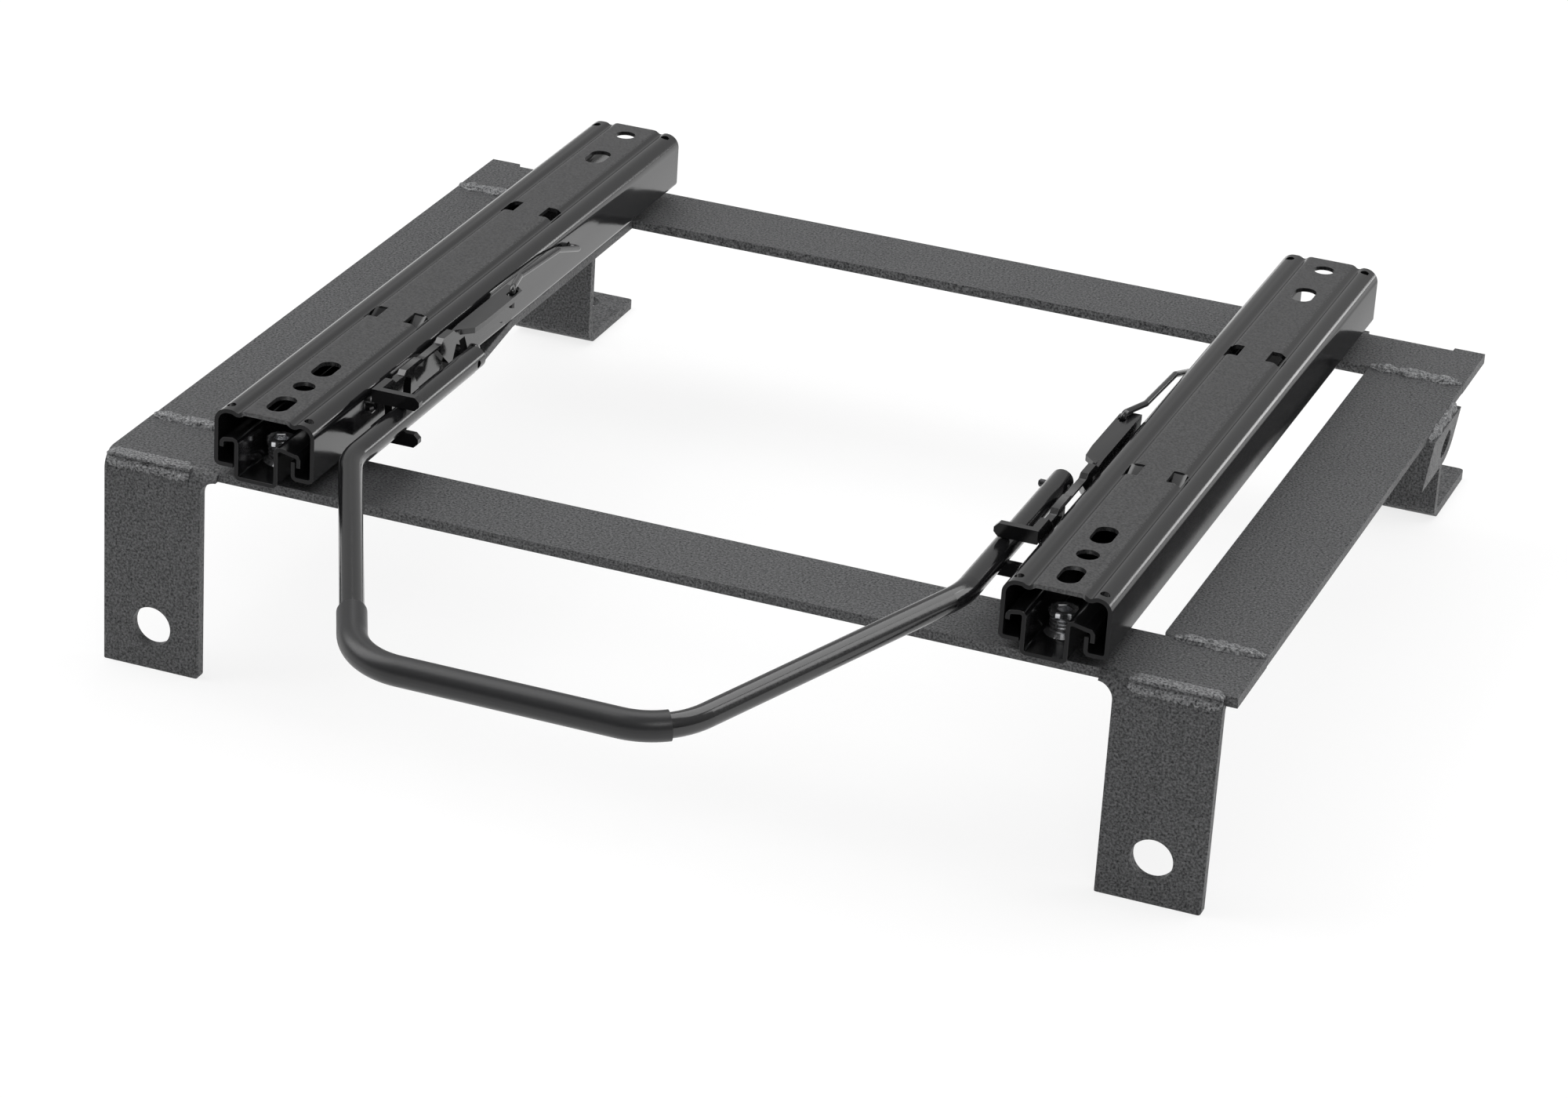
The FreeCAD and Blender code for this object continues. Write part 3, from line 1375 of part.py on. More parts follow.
def make_cross_pin():
    """Pin through the right arm of the release bar; the left arm's hole is empty."""
    radius = dims.pin_hole.value / 2
    tube_radius = dims.tube_size.value / 2
    inner = arm_place.value - tube_radius - dims.pin_stand.value
    outer = arm_place.value + tube_radius
    bevel = dims.pin_bevel.value
    stations = [(inner, radius - bevel), (inner + bevel, radius), (outer, radius)]
    hole_y = (dims.tube_arm_rear - dims.pin_hole_edge).value
    make_turned("cross_pin", stations, 1, hole_y, dims.tube_arm_height.value)


# The bracket, in the order in which it is put together

make_front_crossbar()
make_rear_crossbar()
make_left_side_plate()
make_right_side_plate()
make_buckle_tab()
make_seam_welds()
make_leg_welds()
make_tab_weld()
for side_name, side_sign in (("left", -1), ("right", 1)):
    make_lower_rail(f"lower_rail_{side_name}", side_sign)
    make_slider_bolts(f"slider_bolts_{side_name}", side_sign)
    make_track_balls(f"track_balls_{side_name}", side_sign)
    make_upper_rail(f"upper_rail_{side_name}", side_sign)
    make_pivot_stud(f"pivot_stud_{side_name}", side_sign)
    make_stop_screw(f"stop_screw_{side_name}", side_sign)
    make_lever(f"latch_lever_{side_name}", side_sign)
    make_spring_wire(f"spring_wire_{side_name}", side_sign)
make_release_bar()
make_grip_sleeve()
make_cross_pin()

doc.recompute()

for item in doc.Objects:
    if "Invalid" in item.State or "Error" in item.State:
        raise RuntimeError(f"{item.Label} did not build: {item.State}")
for piece in pieces:
    if piece.Shape.isNull() or not piece.Shape.isValid():
        raise RuntimeError(f"{piece.Label} has no valid shape")

os.makedirs("parts", exist_ok=True)
for piece in pieces:
    piece.Shape.exportStep(f"parts/{piece.Label}.step")
    box = piece.Shape.BoundBox
    print(
        f"{piece.Label}: {piece.Shape.Volume / 1000:.2f} cm3, "
        f"x {box.XMin:.1f}..{box.XMax:.1f}, y {box.YMin:.1f}..{box.YMax:.1f}, "
        f"z {box.ZMin:.1f}..{box.ZMax:.1f}"
    )
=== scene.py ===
import bpy
import bmesh
import math
from mathutils import Matrix, Vector, noise


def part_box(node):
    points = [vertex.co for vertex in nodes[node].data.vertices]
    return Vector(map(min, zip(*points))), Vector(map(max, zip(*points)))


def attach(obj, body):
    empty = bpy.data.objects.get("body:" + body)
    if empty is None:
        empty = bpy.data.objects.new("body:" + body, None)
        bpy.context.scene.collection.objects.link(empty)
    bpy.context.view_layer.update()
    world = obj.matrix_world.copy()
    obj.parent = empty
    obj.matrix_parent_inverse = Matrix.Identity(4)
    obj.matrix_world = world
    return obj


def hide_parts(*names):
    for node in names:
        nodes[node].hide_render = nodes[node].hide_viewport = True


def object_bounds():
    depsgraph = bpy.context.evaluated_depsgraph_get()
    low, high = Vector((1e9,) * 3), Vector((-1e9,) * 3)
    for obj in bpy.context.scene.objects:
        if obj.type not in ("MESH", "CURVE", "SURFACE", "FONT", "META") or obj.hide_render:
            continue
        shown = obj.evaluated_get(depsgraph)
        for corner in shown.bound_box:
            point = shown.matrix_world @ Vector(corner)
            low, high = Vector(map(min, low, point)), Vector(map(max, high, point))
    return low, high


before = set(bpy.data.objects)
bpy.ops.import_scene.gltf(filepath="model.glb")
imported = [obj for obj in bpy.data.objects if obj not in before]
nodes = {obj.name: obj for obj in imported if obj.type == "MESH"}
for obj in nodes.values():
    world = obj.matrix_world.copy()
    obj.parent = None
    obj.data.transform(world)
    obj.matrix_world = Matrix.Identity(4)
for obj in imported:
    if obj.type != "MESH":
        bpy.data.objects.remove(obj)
cad_low, cad_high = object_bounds()
MM = 0.001


# Crossbars, side plates and buckle tab: mild steel flats, sheared to length, folded in
# a brake and punched. The welded frame is powder coated satin black, finely textured.

FRAME_BLACK = (0.019, 0.0195, 0.0205, 1)
FRAME_BLACK_PALE = (0.084, 0.085, 0.088, 1)
COAT_SPECK = 1100
COAT_CLOUD = 34
PLATE_EDGE = 0.45 * MM

# Points this near to a corner, rim or level belong to it, and this near are one point
TOUCH = 0.06 * MM
MERGE = 0.001 * MM

# Front legs: their place, the reach round a corner that takes in all of its radius, the
# rounding that is left there, and the radii of the bolt holes
LEG_WIDTH = 40 * MM
RIGHT_LEG_INSET = 4.5 * MM
LEG_CORNER = 5.1 * MM
LEFT_CORNER_BREAK = 0.5 * MM
RIGHT_CORNER_BREAK = 1.3 * MM
LEG_HOLE_LIFT = 17.6 * MM
LEG_HOLE_CAD = 6.5 * MM
LEG_HOLE = 8 * MM

# Rear feet: their place, the same reach, and the rounding of the toes
FOOT_MIDDLE = 190.3 * MM
FOOT_HALF = 18 * MM
FOOT_CORNER = 6.1 * MM
TOE_BREAK = 1.8 * MM


def finish_material(name, colour, roughness):
    """A material, its shader and node tree, and a function that adds nodes to it."""
    material = bpy.data.materials.new(name)
    material.use_nodes = True
    tree = material.node_tree
    shader = tree.nodes["Principled BSDF"]
    shader.inputs["Base Color"].default_value = colour
    shader.inputs["Roughness"].default_value = roughness

    def add(kind, settings=(), **links):
        node = tree.nodes.new(kind)
        for key, value in dict(settings).items():
            if key in node.inputs:
                node.inputs[key].default_value = value
            else:
                setattr(node, key, value)
        for key, source in links.items():
            tree.links.new(source, node.inputs[key.replace("_", " ")])
        return node

    return material, shader, tree, add


def grain(add, scale, detail=3.0, rough=0.6):
    """Noise on object coordinates, which all pieces share because none is moved."""
    where = add("ShaderNodeTexCoord").outputs["Object"]
    settings = {"Scale": scale, "Detail": detail, "Roughness": rough}
    return add("ShaderNodeTexNoise", settings, Vector=where).outputs["Fac"]


def spread(add, source, low, high, from_low=0.3, from_high=0.7):
    """The source's middle stretch as a value from low to high."""
    settings = {
        "From Min": from_low,
        "From Max": from_high,
        "To Min": low,
        "To Max": high,
    }
    return add("ShaderNodeMapRange", settings, Value=source).outputs["Result"]


def two_tone(add, source, first, second):
    """A blend of two colours over the source's middle stretch."""
    ramp = add("ShaderNodeValToRGB", Fac=source)
    ramp.color_ramp.elements[0].position = 0.35
    ramp.color_ramp.elements[0].color = first
    ramp.color_ramp.elements[1].position = 0.7
    ramp.color_ramp.elements[1].color = second
    return ramp.outputs["Color"]


def bumped(tree, add, shader, height, distance, strength):
    """Gives the shader a bumpy surface of the stated height."""
    settings = {"Strength": strength, "Distance": distance}
    bump = add("ShaderNodeBump", settings, Height=height)
    tree.links.new(bump.outputs["Normal"], shader.inputs["Normal"])


def powder_coat(name, dark, pale):
    """Satin black powder coat: fine bumps, small paler specks and uneven gloss."""
    material, shader, tree, add = finish_material(name, dark, 0.5)
    fine = grain(add, COAT_SPECK, rough=0.65)
    broad = grain(add, COAT_CLOUD)
    colour = two_tone(add, fine, dark, pale)
    tree.links.new(colour, shader.inputs["Base Color"])
    rough = spread(add, broad, low=0.42, high=0.56)
    tree.links.new(rough, shader.inputs["Roughness"])
    shine = spread(add, fine, low=0.05, high=1.0)
    tree.links.new(shine, shader.inputs["Specular IOR Level"])
    bumped(tree, add, shader, fine, distance=0.4 * MM, strength=0.9)
    return material


def dress(node_name, material):
    """Gives a piece that is shown as it was made its finish."""
    mesh = nodes[node_name].data
    for index in range(len(mesh.materials)):
        mesh.materials[index] = material


def working_copy(node_name):
    """A bmesh with a piece's shape, its faces joined at their corners."""
    shape = bmesh.new()
    shape.from_mesh(nodes[node_name].data)
    bmesh.ops.remove_doubles(shape, verts=shape.verts, dist=MERGE)
    return shape


def settle(shape, name, material, body, sharp=math.radians(32)):
    """Turns a bmesh into a piece that rides on a body."""
    bmesh.ops.recalc_face_normals(shape, faces=shape.faces)
    for face in shape.faces:
        face.smooth = True
        face.material_index = 0
    for edge in shape.edges:
        if len(edge.link_faces) == 2:
            edge.smooth = edge.calc_face_angle() < sharp
    mesh = bpy.data.meshes.new(name)
    shape.to_mesh(mesh)
    shape.free()
    mesh.materials.append(material)
    piece = bpy.data.objects.new(name, mesh)
    bpy.context.collection.objects.link(piece)
    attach(piece, body)
    return piece


def ease_edges(piece, width):
    """Rounds a piece's cut edges a little, so that they catch the light."""
    bevel = piece.modifiers.new("eased_edges", "BEVEL")
    bevel.width = width
    bevel.segments = 2
    bevel.limit_method = "ANGLE"
    bevel.angle_limit = math.radians(40)
    bevel.harden_normals = True


def sheet_piece(node_name, material, body, edge, rework=None):
    """A cut and folded plate with eased edges in place of its plain solid."""
    shape = working_copy(node_name)
    if rework:
        rework(shape)
    flat = math.radians(0.3)
    bmesh.ops.dissolve_limit(
        shape, angle_limit=flat, verts=shape.verts, edges=shape.edges
    )
    piece = settle(shape, node_name + "_finished", material, body)
    ease_edges(piece, edge)
    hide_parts(node_name)


def square_corner(shape, corner, axes, reach, rounding):
    """Draws a plate's rounded corner out to a crisp one and rounds it again a little.

    axes are the two in the plate's own plane.
    """
    first, second = axes
    for vertex in shape.verts:
        beside = abs(vertex.co[first] - corner[first]) < reach
        if beside and abs(vertex.co[second] - corner[second]) < reach:
            vertex.co[first] = corner[first]
            vertex.co[second] = corner[second]
    bmesh.ops.remove_doubles(shape, verts=shape.verts, dist=MERGE)

    def at_corner(vertex):
        off = max(abs(vertex.co[axis] - corner[axis]) for axis in axes)
        return off < TOUCH

    edges = [e for e in shape.edges if at_corner(e.verts[0]) and at_corner(e.verts[1])]
    bmesh.ops.bevel(
        shape,
        geom=edges,
        offset=rounding,
        segments=3,
        profile=0.5,
        affect="EDGES",
        material=-1,
    )


def widen_hole(shape, centre, axes, cad_radius, radius):
    """Opens a punched hole to the size that the photograph shows."""
    first, second = axes
    for vertex in shape.verts:
        across = vertex.co[first] - centre[first]
        along = vertex.co[second] - centre[second]
        if abs(math.hypot(across, along) - cad_radius) < TOUCH:
            vertex.co[first] = centre[first] + across * radius / cad_radius
            vertex.co[second] = centre[second] + along * radius / cad_radius


def crisp_front_legs(shape):
    """The front legs' square lower corners and their wide bolt holes."""
    low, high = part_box("front_crossbar")
    outer_left = low.x
    outer_right = high.x - RIGHT_LEG_INSET
    legs = (
        (outer_left, outer_left + LEG_WIDTH),
        (outer_right - LEG_WIDTH, outer_right),
    )
    for left, right in legs:
        for x, rounding in ((left, LEFT_CORNER_BREAK), (right, RIGHT_CORNER_BREAK)):
            square_corner(shape, (x, 0, low.z), (0, 2), LEG_CORNER, rounding)
        hole = ((left + right) / 2, 0, low.z + LEG_HOLE_LIFT)
        widen_hole(shape, hole, (0, 2), LEG_HOLE_CAD, LEG_HOLE)


def crisp_rear_feet(shape):
    """The rear feet's nearly square toes."""
    _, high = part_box("rear_crossbar")
    for side in (-1, 1):
        for edge in (FOOT_MIDDLE - FOOT_HALF, FOOT_MIDDLE + FOOT_HALF):
            toe = (edge * side, high.y, 0)
            square_corner(shape, toe, (0, 1), FOOT_CORNER, TOE_BREAK)


frame_finish = powder_coat("powder_coat", FRAME_BLACK, FRAME_BLACK_PALE)
REWORKS = {
    "front_crossbar": crisp_front_legs,
    "rear_crossbar": crisp_rear_feet,
    "left_side_plate": None,
    "right_side_plate": None,
    "buckle_tab": None,
}
for plate, rework in REWORKS.items():
    sheet_piece(plate, frame_finish, "frame", PLATE_EDGE, rework)


# Weld beads on the seams: hand-laid, ragged, under the same coat as the plates. They
# join the side plates to the crossbars and hold the buckle tab.

BEAD_BLACK = (0.045, 0.046, 0.048, 1)
BEAD_BLACK_PALE = (0.26, 0.263, 0.268, 1)
BEAD_RAGGED = 0.8 * MM
BEAD_LIFT = 0.35 * MM
BEAD_CUT = 1.0 * MM
BEAD_LUMPS = 420
BEAD_PITS = 1100
PIT_SHARE = 0.5
BEAD_CREASE = math.radians(30)
bead_finish = powder_coat("coated_weld", BEAD_BLACK, BEAD_BLACK_PALE)


def ragged_bead(node_name, lift):
    """A bead whose surface swells and pits about a lift from the drawn form."""
    shape = working_copy(node_name)
    bmesh.ops.triangulate(shape, faces=shape.faces)
    for _ in range(3):
        long_edges = [e for e in shape.edges if e.calc_length() > BEAD_CUT]
        bmesh.ops.subdivide_edges(shape, edges=long_edges, cuts=1)
        bmesh.ops.triangulate(shape, faces=shape.faces)
    shape.normal_update()
    for vertex in shape.verts:
        lumps = noise.noise(vertex.co * BEAD_LUMPS)
        pits = noise.noise(vertex.co * BEAD_PITS)
        swell = lift + BEAD_RAGGED * (lumps + PIT_SHARE * pits)
        vertex.co += vertex.normal * min(swell, 2 * lift)
    name = node_name + "_ragged"
    piece = settle(shape, name, bead_finish, "frame", BEAD_CREASE)
    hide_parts(node_name)


ragged_bead("front_left_weld", BEAD_LIFT)
ragged_bead("rear_left_weld", BEAD_LIFT)
ragged_bead("front_right_weld", BEAD_LIFT)
ragged_bead("rear_right_weld", BEAD_LIFT)
ragged_bead("tab_weld", 0)


# Weld across the outside of each front leg's fold: a broad bead that fills the round of
# the fold up to a crisp upper edge, dips, and ends in a ragged ridge on the leg's face.

# Corners of the bead's section in millimetres: behind the leg's face, above the
# crossbar's top, and how far the corner wanders along the run
FOLD_SECTION = (
    (7.0, -0.15, 0.0),
    (3.8, 0.1, 0.1),
    (0.6, 0.0, 0.25),
    (0.3, -0.7, 0.3),
    (1.4, -1.9, 0.35),
    (0.0, -3.0, 0.7),
    (-0.5, -4.1, 0.8),
    (0.1, -5.5, 0.9),
    (1.0, -6.3, 0.0),
    (3.6, -4.2, 0.0),
)
FOLD_CENTRE = 3 * MM
FOLD_STEP = 0.5 * MM
FOLD_TAPER = 2.5 * MM
FOLD_END_SIZE = 0.75
FOLD_DRIFT = 500
CORNERS_APART = 3.7
FOLD_CREASE = math.radians(26)
SCALLOP = 2.6 * MM
SCALLOP_SHARE = 0.5
UPWARD_SHARE = 0.6
LEFT_FOLD = (-220.6 * MM, -186 * MM)
RIGHT_FOLD = (181.5 * MM, 216.1 * MM)
fold_finish = powder_coat("coated_fold_weld", FRAME_BLACK, BEAD_BLACK_PALE)


def bridge_rows(shape, rows):
    """Joins closed rows of as many points each, one after the other."""
    for first, second in zip(rows, rows[1:]):
        for number in range(len(first)):
            following = (number + 1) % len(first)
            shape.faces.new(
                (first[number], first[following], second[following], second[number])
            )


def fold_bead(node_name, run):
    """The bead on a fold, lofted from left to right and tapered to both ends."""
    low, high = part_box("front_crossbar")
    start, end = run
    centre_y = low.y + FOLD_CENTRE
    centre_z = high.z - FOLD_CENTRE
    shape = bmesh.new()
    count = round((end - start) / FOLD_STEP)
    rows = []
    for number in range(count + 1):
        x = start + (end - start) * number / count
        body = min(1.0, (x - start) / FOLD_TAPER, (end - x) / FOLD_TAPER)
        size = FOLD_END_SIZE + (1 - FOLD_END_SIZE) * body
        scallop = abs(math.sin(math.pi * x / SCALLOP))
        row = []
        for corner, (behind, above, wander) in enumerate(FOLD_SECTION):
            drift = noise.noise(Vector((x * FOLD_DRIFT, corner * CORNERS_APART, 0)))
            shift = wander * (drift + SCALLOP_SHARE * (scallop - 0.5)) * MM
            y = low.y + behind * MM - shift * body
            z = high.z + above * MM - shift * UPWARD_SHARE * body
            y = centre_y + (y - centre_y) * size
            z = centre_z + (z - centre_z) * size
            row.append(shape.verts.new((x, y, z)))
        rows.append(row)
    bridge_rows(shape, rows)
    shape.faces.new(rows[0])
    shape.faces.new(rows[-1])
    name = node_name + "_ragged"
    piece = settle(shape, name, fold_finish, "frame", FOLD_CREASE)
    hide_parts(node_name)


fold_bead("left_leg_weld", LEFT_FOLD)
fold_bead("right_leg_weld", RIGHT_FOLD)


# Slider rails: roll-formed 1.6 mm steel, dip coated gloss black. The upper rail's
# hooked lips hold the lower rail's flanges. Its seat face is duller, finely speckled.

RAIL_BLACK = (0.006, 0.006, 0.0065, 1)
RAIL_GLOSS = 1.7
RAIL_DUST = 900
RAIL_WAVES = 60
RAIL_EDGE = 0.25 * MM
SEAT_BLACK = (0.012, 0.012, 0.0125, 1)
SEAT_SPECK = (0.03, 0.03, 0.031, 1)
SEAT_HALF = 9.2 * MM
SEAT_FADE = 0.8 * MM
SEAT_SHIFT = 3.85 * MM
TONGUE_MIDDLE = -277.7 * MM
TONGUE_HALF = 7 * MM
TONGUE_DROP = 0.5 * MM
END_SHINE = 0.12
# Painted shade: the right rail's right-facing walls hardly shine
PAINTED_SHADE_SHINE = 0.05
FULL_SHINE = 0.5

# How squarely a face has to look to the front, or to the right, for its own shine (on the
# right rail, painted shade on the right-facing walls)
END_FACING = (-0.95, -0.8)
WALL_FACING = (0.85, 0.97)


def math_of(tree, add, operation, first, second=None, clamp=False):
    """The result of a sum on one or two values, each a socket or a number."""
    node = add("ShaderNodeMath", {"operation": operation, "use_clamp": clamp})
    for index, value in enumerate((first, second)):
        if isinstance(value, bpy.types.NodeSocket):
            tree.links.new(value, node.inputs[index])
        elif value is not None:
            node.inputs[index].default_value = value
    return node.outputs["Value"]


def mix_of(tree, add, kind, share, first, second):
    """The first value where share is 0 and the second where it is 1."""
    node = add("ShaderNodeMix", {"data_type": kind})
    for key, value in (("Factor", share), ("A", first), ("B", second)):
        if isinstance(value, bpy.types.NodeSocket):
            tree.links.new(value, node.inputs[key])
        else:
            node.inputs[key].default_value = value
    return node.outputs["Result"]


def shine_by_facing(tree, add, side_shine):
    """Low shine on the rails' sheared front ends, side_shine on right-hand walls, where a
    low side_shine is painted shade.
    """
    facing = add("ShaderNodeTexCoord").outputs["Normal"]
    apart = add("ShaderNodeSeparateXYZ", Vector=facing)
    ends = spread(add, apart.outputs["Y"], END_SHINE, FULL_SHINE, *END_FACING)
    walls = spread(add, apart.outputs["X"], FULL_SHINE, side_shine, *WALL_FACING)
    return math_of(tree, add, "MINIMUM", ends, walls)


def gloss_coat(name, side_shine):
    """Gloss black dip paint, a little wavy, with slight dust in it."""
    material, shader, tree, add = finish_material(name, RAIL_BLACK, 0.12)
    shader.inputs["IOR"].default_value = RAIL_GLOSS
    fine = grain(add, RAIL_DUST)
    broad = grain(add, RAIL_WAVES)
    rough = spread(add, fine, low=0.09, high=0.2)
    tree.links.new(rough, shader.inputs["Roughness"])
    bumped(tree, add, shader, broad, distance=0.4 * MM, strength=0.12)
    shine = shine_by_facing(tree, add, side_shine)
    tree.links.new(shine, shader.inputs["Specular IOR Level"])
    return material


# The right rail's copy of the coat holds painted shade: its right-facing walls hardly
# shine.
rail_finish = gloss_coat("gloss_coat", FULL_SHINE)
painted_shade_rail_finish = gloss_coat("gloss_coat_painted_shade", PAINTED_SHADE_SHINE)
for side, finish in (("left", rail_finish), ("right", painted_shade_rail_finish)):
    lower_rail = "lower_rail_" + side
    sheet_piece(lower_rail, finish, "frame", RAIL_EDGE)


def seat_face_coat(name, side_shine):
    """The gloss coat; on the flat of the seat face paler, duller and speckled."""
    material, shader, tree, add = finish_material(name, RAIL_BLACK, 0.12)
    shader.inputs["IOR"].default_value = RAIL_GLOSS
    fine = grain(add, COAT_SPECK, rough=0.65)
    broad = grain(add, RAIL_WAVES)
    where = add("ShaderNodeTexCoord").outputs["Object"]
    apart = add("ShaderNodeSeparateXYZ", Vector=where)

    # The flat of either slider's seat face, by its distance from that face's middle.
    low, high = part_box("slider_bolts_right")
    seat_middle = (low.x + high.x) / 2 + SEAT_SHIFT
    from_middle = math_of(tree, add, "ABSOLUTE", apart.outputs["X"])
    from_seat = math_of(tree, add, "SUBTRACT", from_middle, seat_middle)
    off_middle = math_of(tree, add, "ABSOLUTE", from_seat)
    central = spread(add, off_middle, 1, 0, SEAT_HALF, SEAT_HALF + SEAT_FADE)

    # The tongues of the front lanced openings have the plain coat, and their low shine is
    # painted shade, as they face away from the light.
    _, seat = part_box("upper_rail_left")
    below = seat.z - TONGUE_DROP
    sunk = spread(add, apart.outputs["Z"], 1, 0, below - TOUCH, below)
    off_tongue = math_of(tree, add, "SUBTRACT", apart.outputs["Y"], TONGUE_MIDDLE)
    along = math_of(tree, add, "ABSOLUTE", off_tongue)
    beside = spread(add, along, 1, 0, TONGUE_HALF, TONGUE_HALF + TOUCH)
    sunk_here = math_of(tree, add, "MULTIPLY", sunk, beside)
    tongue_painted_shade = math_of(tree, add, "MULTIPLY", sunk_here, central)
    flat = math_of(tree, add, "SUBTRACT", central, tongue_painted_shade, clamp=True)

    speckle = two_tone(add, fine, SEAT_BLACK, SEAT_SPECK)
    colour = mix_of(tree, add, "RGBA", flat, RAIL_BLACK, speckle)
    tree.links.new(colour, shader.inputs["Base Color"])
    gloss = spread(add, broad, low=0.09, high=0.16)
    dull = spread(add, fine, low=0.3, high=0.42)
    rough = mix_of(tree, add, "FLOAT", flat, gloss, dull)
    tree.links.new(rough, shader.inputs["Roughness"])
    bumped(tree, add, shader, fine, distance=0.05 * MM, strength=0.3)
    sparkle = spread(add, fine, low=0.2, high=0.62)
    plain = shine_by_facing(tree, add, side_shine)
    shine = mix_of(tree, add, "FLOAT", flat, plain, sparkle)
    # Painted shade: the tongues' shine falls to END_SHINE.
    level = mix_of(tree, add, "FLOAT", tongue_painted_shade, shine, END_SHINE)
    tree.links.new(level, shader.inputs["Specular IOR Level"])
    return material


# The right rail's copy of the seat face coat holds painted shade on its right-facing
# walls.
seat_finish = seat_face_coat("seat_face_coat", FULL_SHINE)
painted_shade_seat_finish = seat_face_coat("seat_face_coat_painted_shade", PAINTED_SHADE_SHINE)
for side, finish in (("left", seat_finish), ("right", painted_shade_seat_finish)):
    upper_rail = "upper_rail_" + side
    sheet_piece(upper_rail, finish, side + "_slide", RAIL_EDGE)


# Bearing balls: polished steel with a film of grease, two packs in each of the four
# tracks between the upper and the lower rails.

BALL_STEEL = (0.62, 0.61, 0.6, 1)
GREASE_CLOUDS = 700


def cloudy_metal(name, colour, roughness, clouds, low, high):
    """Bare or stained metal whose roughness changes in clouds from low to high."""
    material, shader, tree, add = finish_material(name, colour, roughness)
    shader.inputs["Metallic"].default_value = 1.0
    rough = spread(add, grain(add, clouds), low, high)
    tree.links.new(rough, shader.inputs["Roughness"])
    return material


ball_finish = cloudy_metal("polished_steel", BALL_STEEL, 0.12, GREASE_CLOUDS, 0.08, 0.3)
dress("track_balls_left", ball_finish)
dress("track_balls_right", ball_finish)


# Slider bolts: socket screws with a knurled head and a flange, bright zinc plated, with
# a thin hexagon nut under the crossbar.

ZINC = (0.9, 0.9, 0.91, 1)
ZINC_DULL = (0.6, 0.61, 0.63, 1)
HEAD_SIDES = 72
KNURLS = 12
KNURL_DEPTH = 0.5 * MM
HEAD_RADIUS = 5.7 * MM
HEAD_HIGH = 2.4 * MM
HEAD_EDGE = 0.35 * MM
SOCKET_HALF = 2.5 * MM
SOCKET_DEPTH = 2.0 * MM
NECK_RADIUS = 4.5 * MM
RING_RADIUS = 5.0 * MM
RING_HIGH = 0.45 * MM
FLANGE_RADIUS = 6.7 * MM
FLANGE_HIGH = 1.5 * MM
SHANK_RADIUS = 4 * MM
NUT_RADIUS = 13 * MM / math.sqrt(3)
NUT_LOW = 0.8 * MM
NUT_HIGH = 4 * MM
NUT_TURN = math.radians(30)
BOLT_SEAT = 1.6 * MM
RING_PLACES = (0.4, 0.6, 0.8)
ZINC_CLOUD = 350
ZINC_GRAIN = 2600


def bright_zinc():
    """Zinc plate: bright, with duller clouds and a fine grain."""
    material, shader, tree, add = finish_material("bright_zinc", ZINC, 0.2)
    shader.inputs["Metallic"].default_value = 0.92
    clouds = grain(add, ZINC_CLOUD)
    fine = grain(add, ZINC_GRAIN, detail=2.0)
    colour = two_tone(add, clouds, ZINC_DULL, ZINC)
    tree.links.new(colour, shader.inputs["Base Color"])
    rough = spread(add, clouds, low=0.1, high=0.26)
    tree.links.new(rough, shader.inputs["Roughness"])
    bumped(tree, add, shader, fine, distance=0.05 * MM, strength=0.35)
    return material


def knurled(angle, radius):
    """Reach of a knurled rim at an angle."""
    return radius - KNURL_DEPTH * abs(math.cos(angle * KNURLS / 2))


def hexagonal(angle, half):
    """Reach of a hexagon's side at an angle, half is from the middle to a flat."""
    sixth = math.pi / 3
    return half / math.cos((angle + sixth / 2) % sixth - sixth / 2)


def stack(shape, centre, rings):
    """Joins rings, each its reach by angle and its height, and caps both ends."""
    rows = []
    for outline, height in rings:
        row = []
        for number in range(HEAD_SIDES):
            angle = math.tau * number / HEAD_SIDES
            reach = outline(angle)
            across = reach * math.cos(angle)
            along = reach * math.sin(angle)
            row.append(shape.verts.new((centre.x + across, centre.y + along, height)))
        rows.append(row)
    bridge_rows(shape, rows)
    shape.faces.new(reversed(rows[0]))
    shape.faces.new(rows[-1])


def turned(shape, centre, low, high, radius_low, radius_high, sides=48, turn=0.0):
    """A turned or hexagonal length of the bolt between two heights."""
    middle = Vector((centre.x, centre.y, (low + high) / 2))
    bmesh.ops.create_cone(
        shape,
        cap_ends=True,
        segments=sides,
        radius1=radius_low,
        radius2=radius_high,
        depth=high - low,
        matrix=Matrix.Translation(middle) @ Matrix.Rotation(turn, 4, "Z"),
    )


def socket_bolt(shape, centre, end, seat, top):
    """One bolt with its nut, from the end of its thread to the top of its head."""
    knurl_low = top - HEAD_HIGH
    stack(
        shape,
        centre,
        (
            (lambda angle: knurled(angle, HEAD_RADIUS - HEAD_EDGE), knurl_low),
            (lambda angle: knurled(angle, HEAD_RADIUS), knurl_low + HEAD_EDGE),
            (lambda angle: knurled(angle, HEAD_RADIUS), top - HEAD_EDGE),
            (lambda angle: knurled(angle, HEAD_RADIUS - HEAD_EDGE), top),
            (lambda angle: hexagonal(angle, SOCKET_HALF + HEAD_EDGE), top),
            (lambda angle: hexagonal(angle, SOCKET_HALF), top - HEAD_EDGE),
            (lambda angle: hexagonal(angle, SOCKET_HALF), top - SOCKET_DEPTH),
        ),
    )
    turned(shape, centre, seat, knurl_low + HEAD_EDGE, NECK_RADIUS, NECK_RADIUS)
    turned(shape, centre, seat, seat + FLANGE_HIGH, FLANGE_RADIUS, RING_RADIUS)
    for share in RING_PLACES:
        low = seat + (knurl_low - seat) * share
        turned(shape, centre, low, low + RING_HIGH, RING_RADIUS, RING_RADIUS)
    turned(shape, centre, end, seat, SHANK_RADIUS, SHANK_RADIUS)
    nut_low = end + NUT_LOW
    nut_high = nut_low + NUT_HIGH
    turned(shape, centre, nut_low, nut_high, NUT_RADIUS, NUT_RADIUS, 6, NUT_TURN)


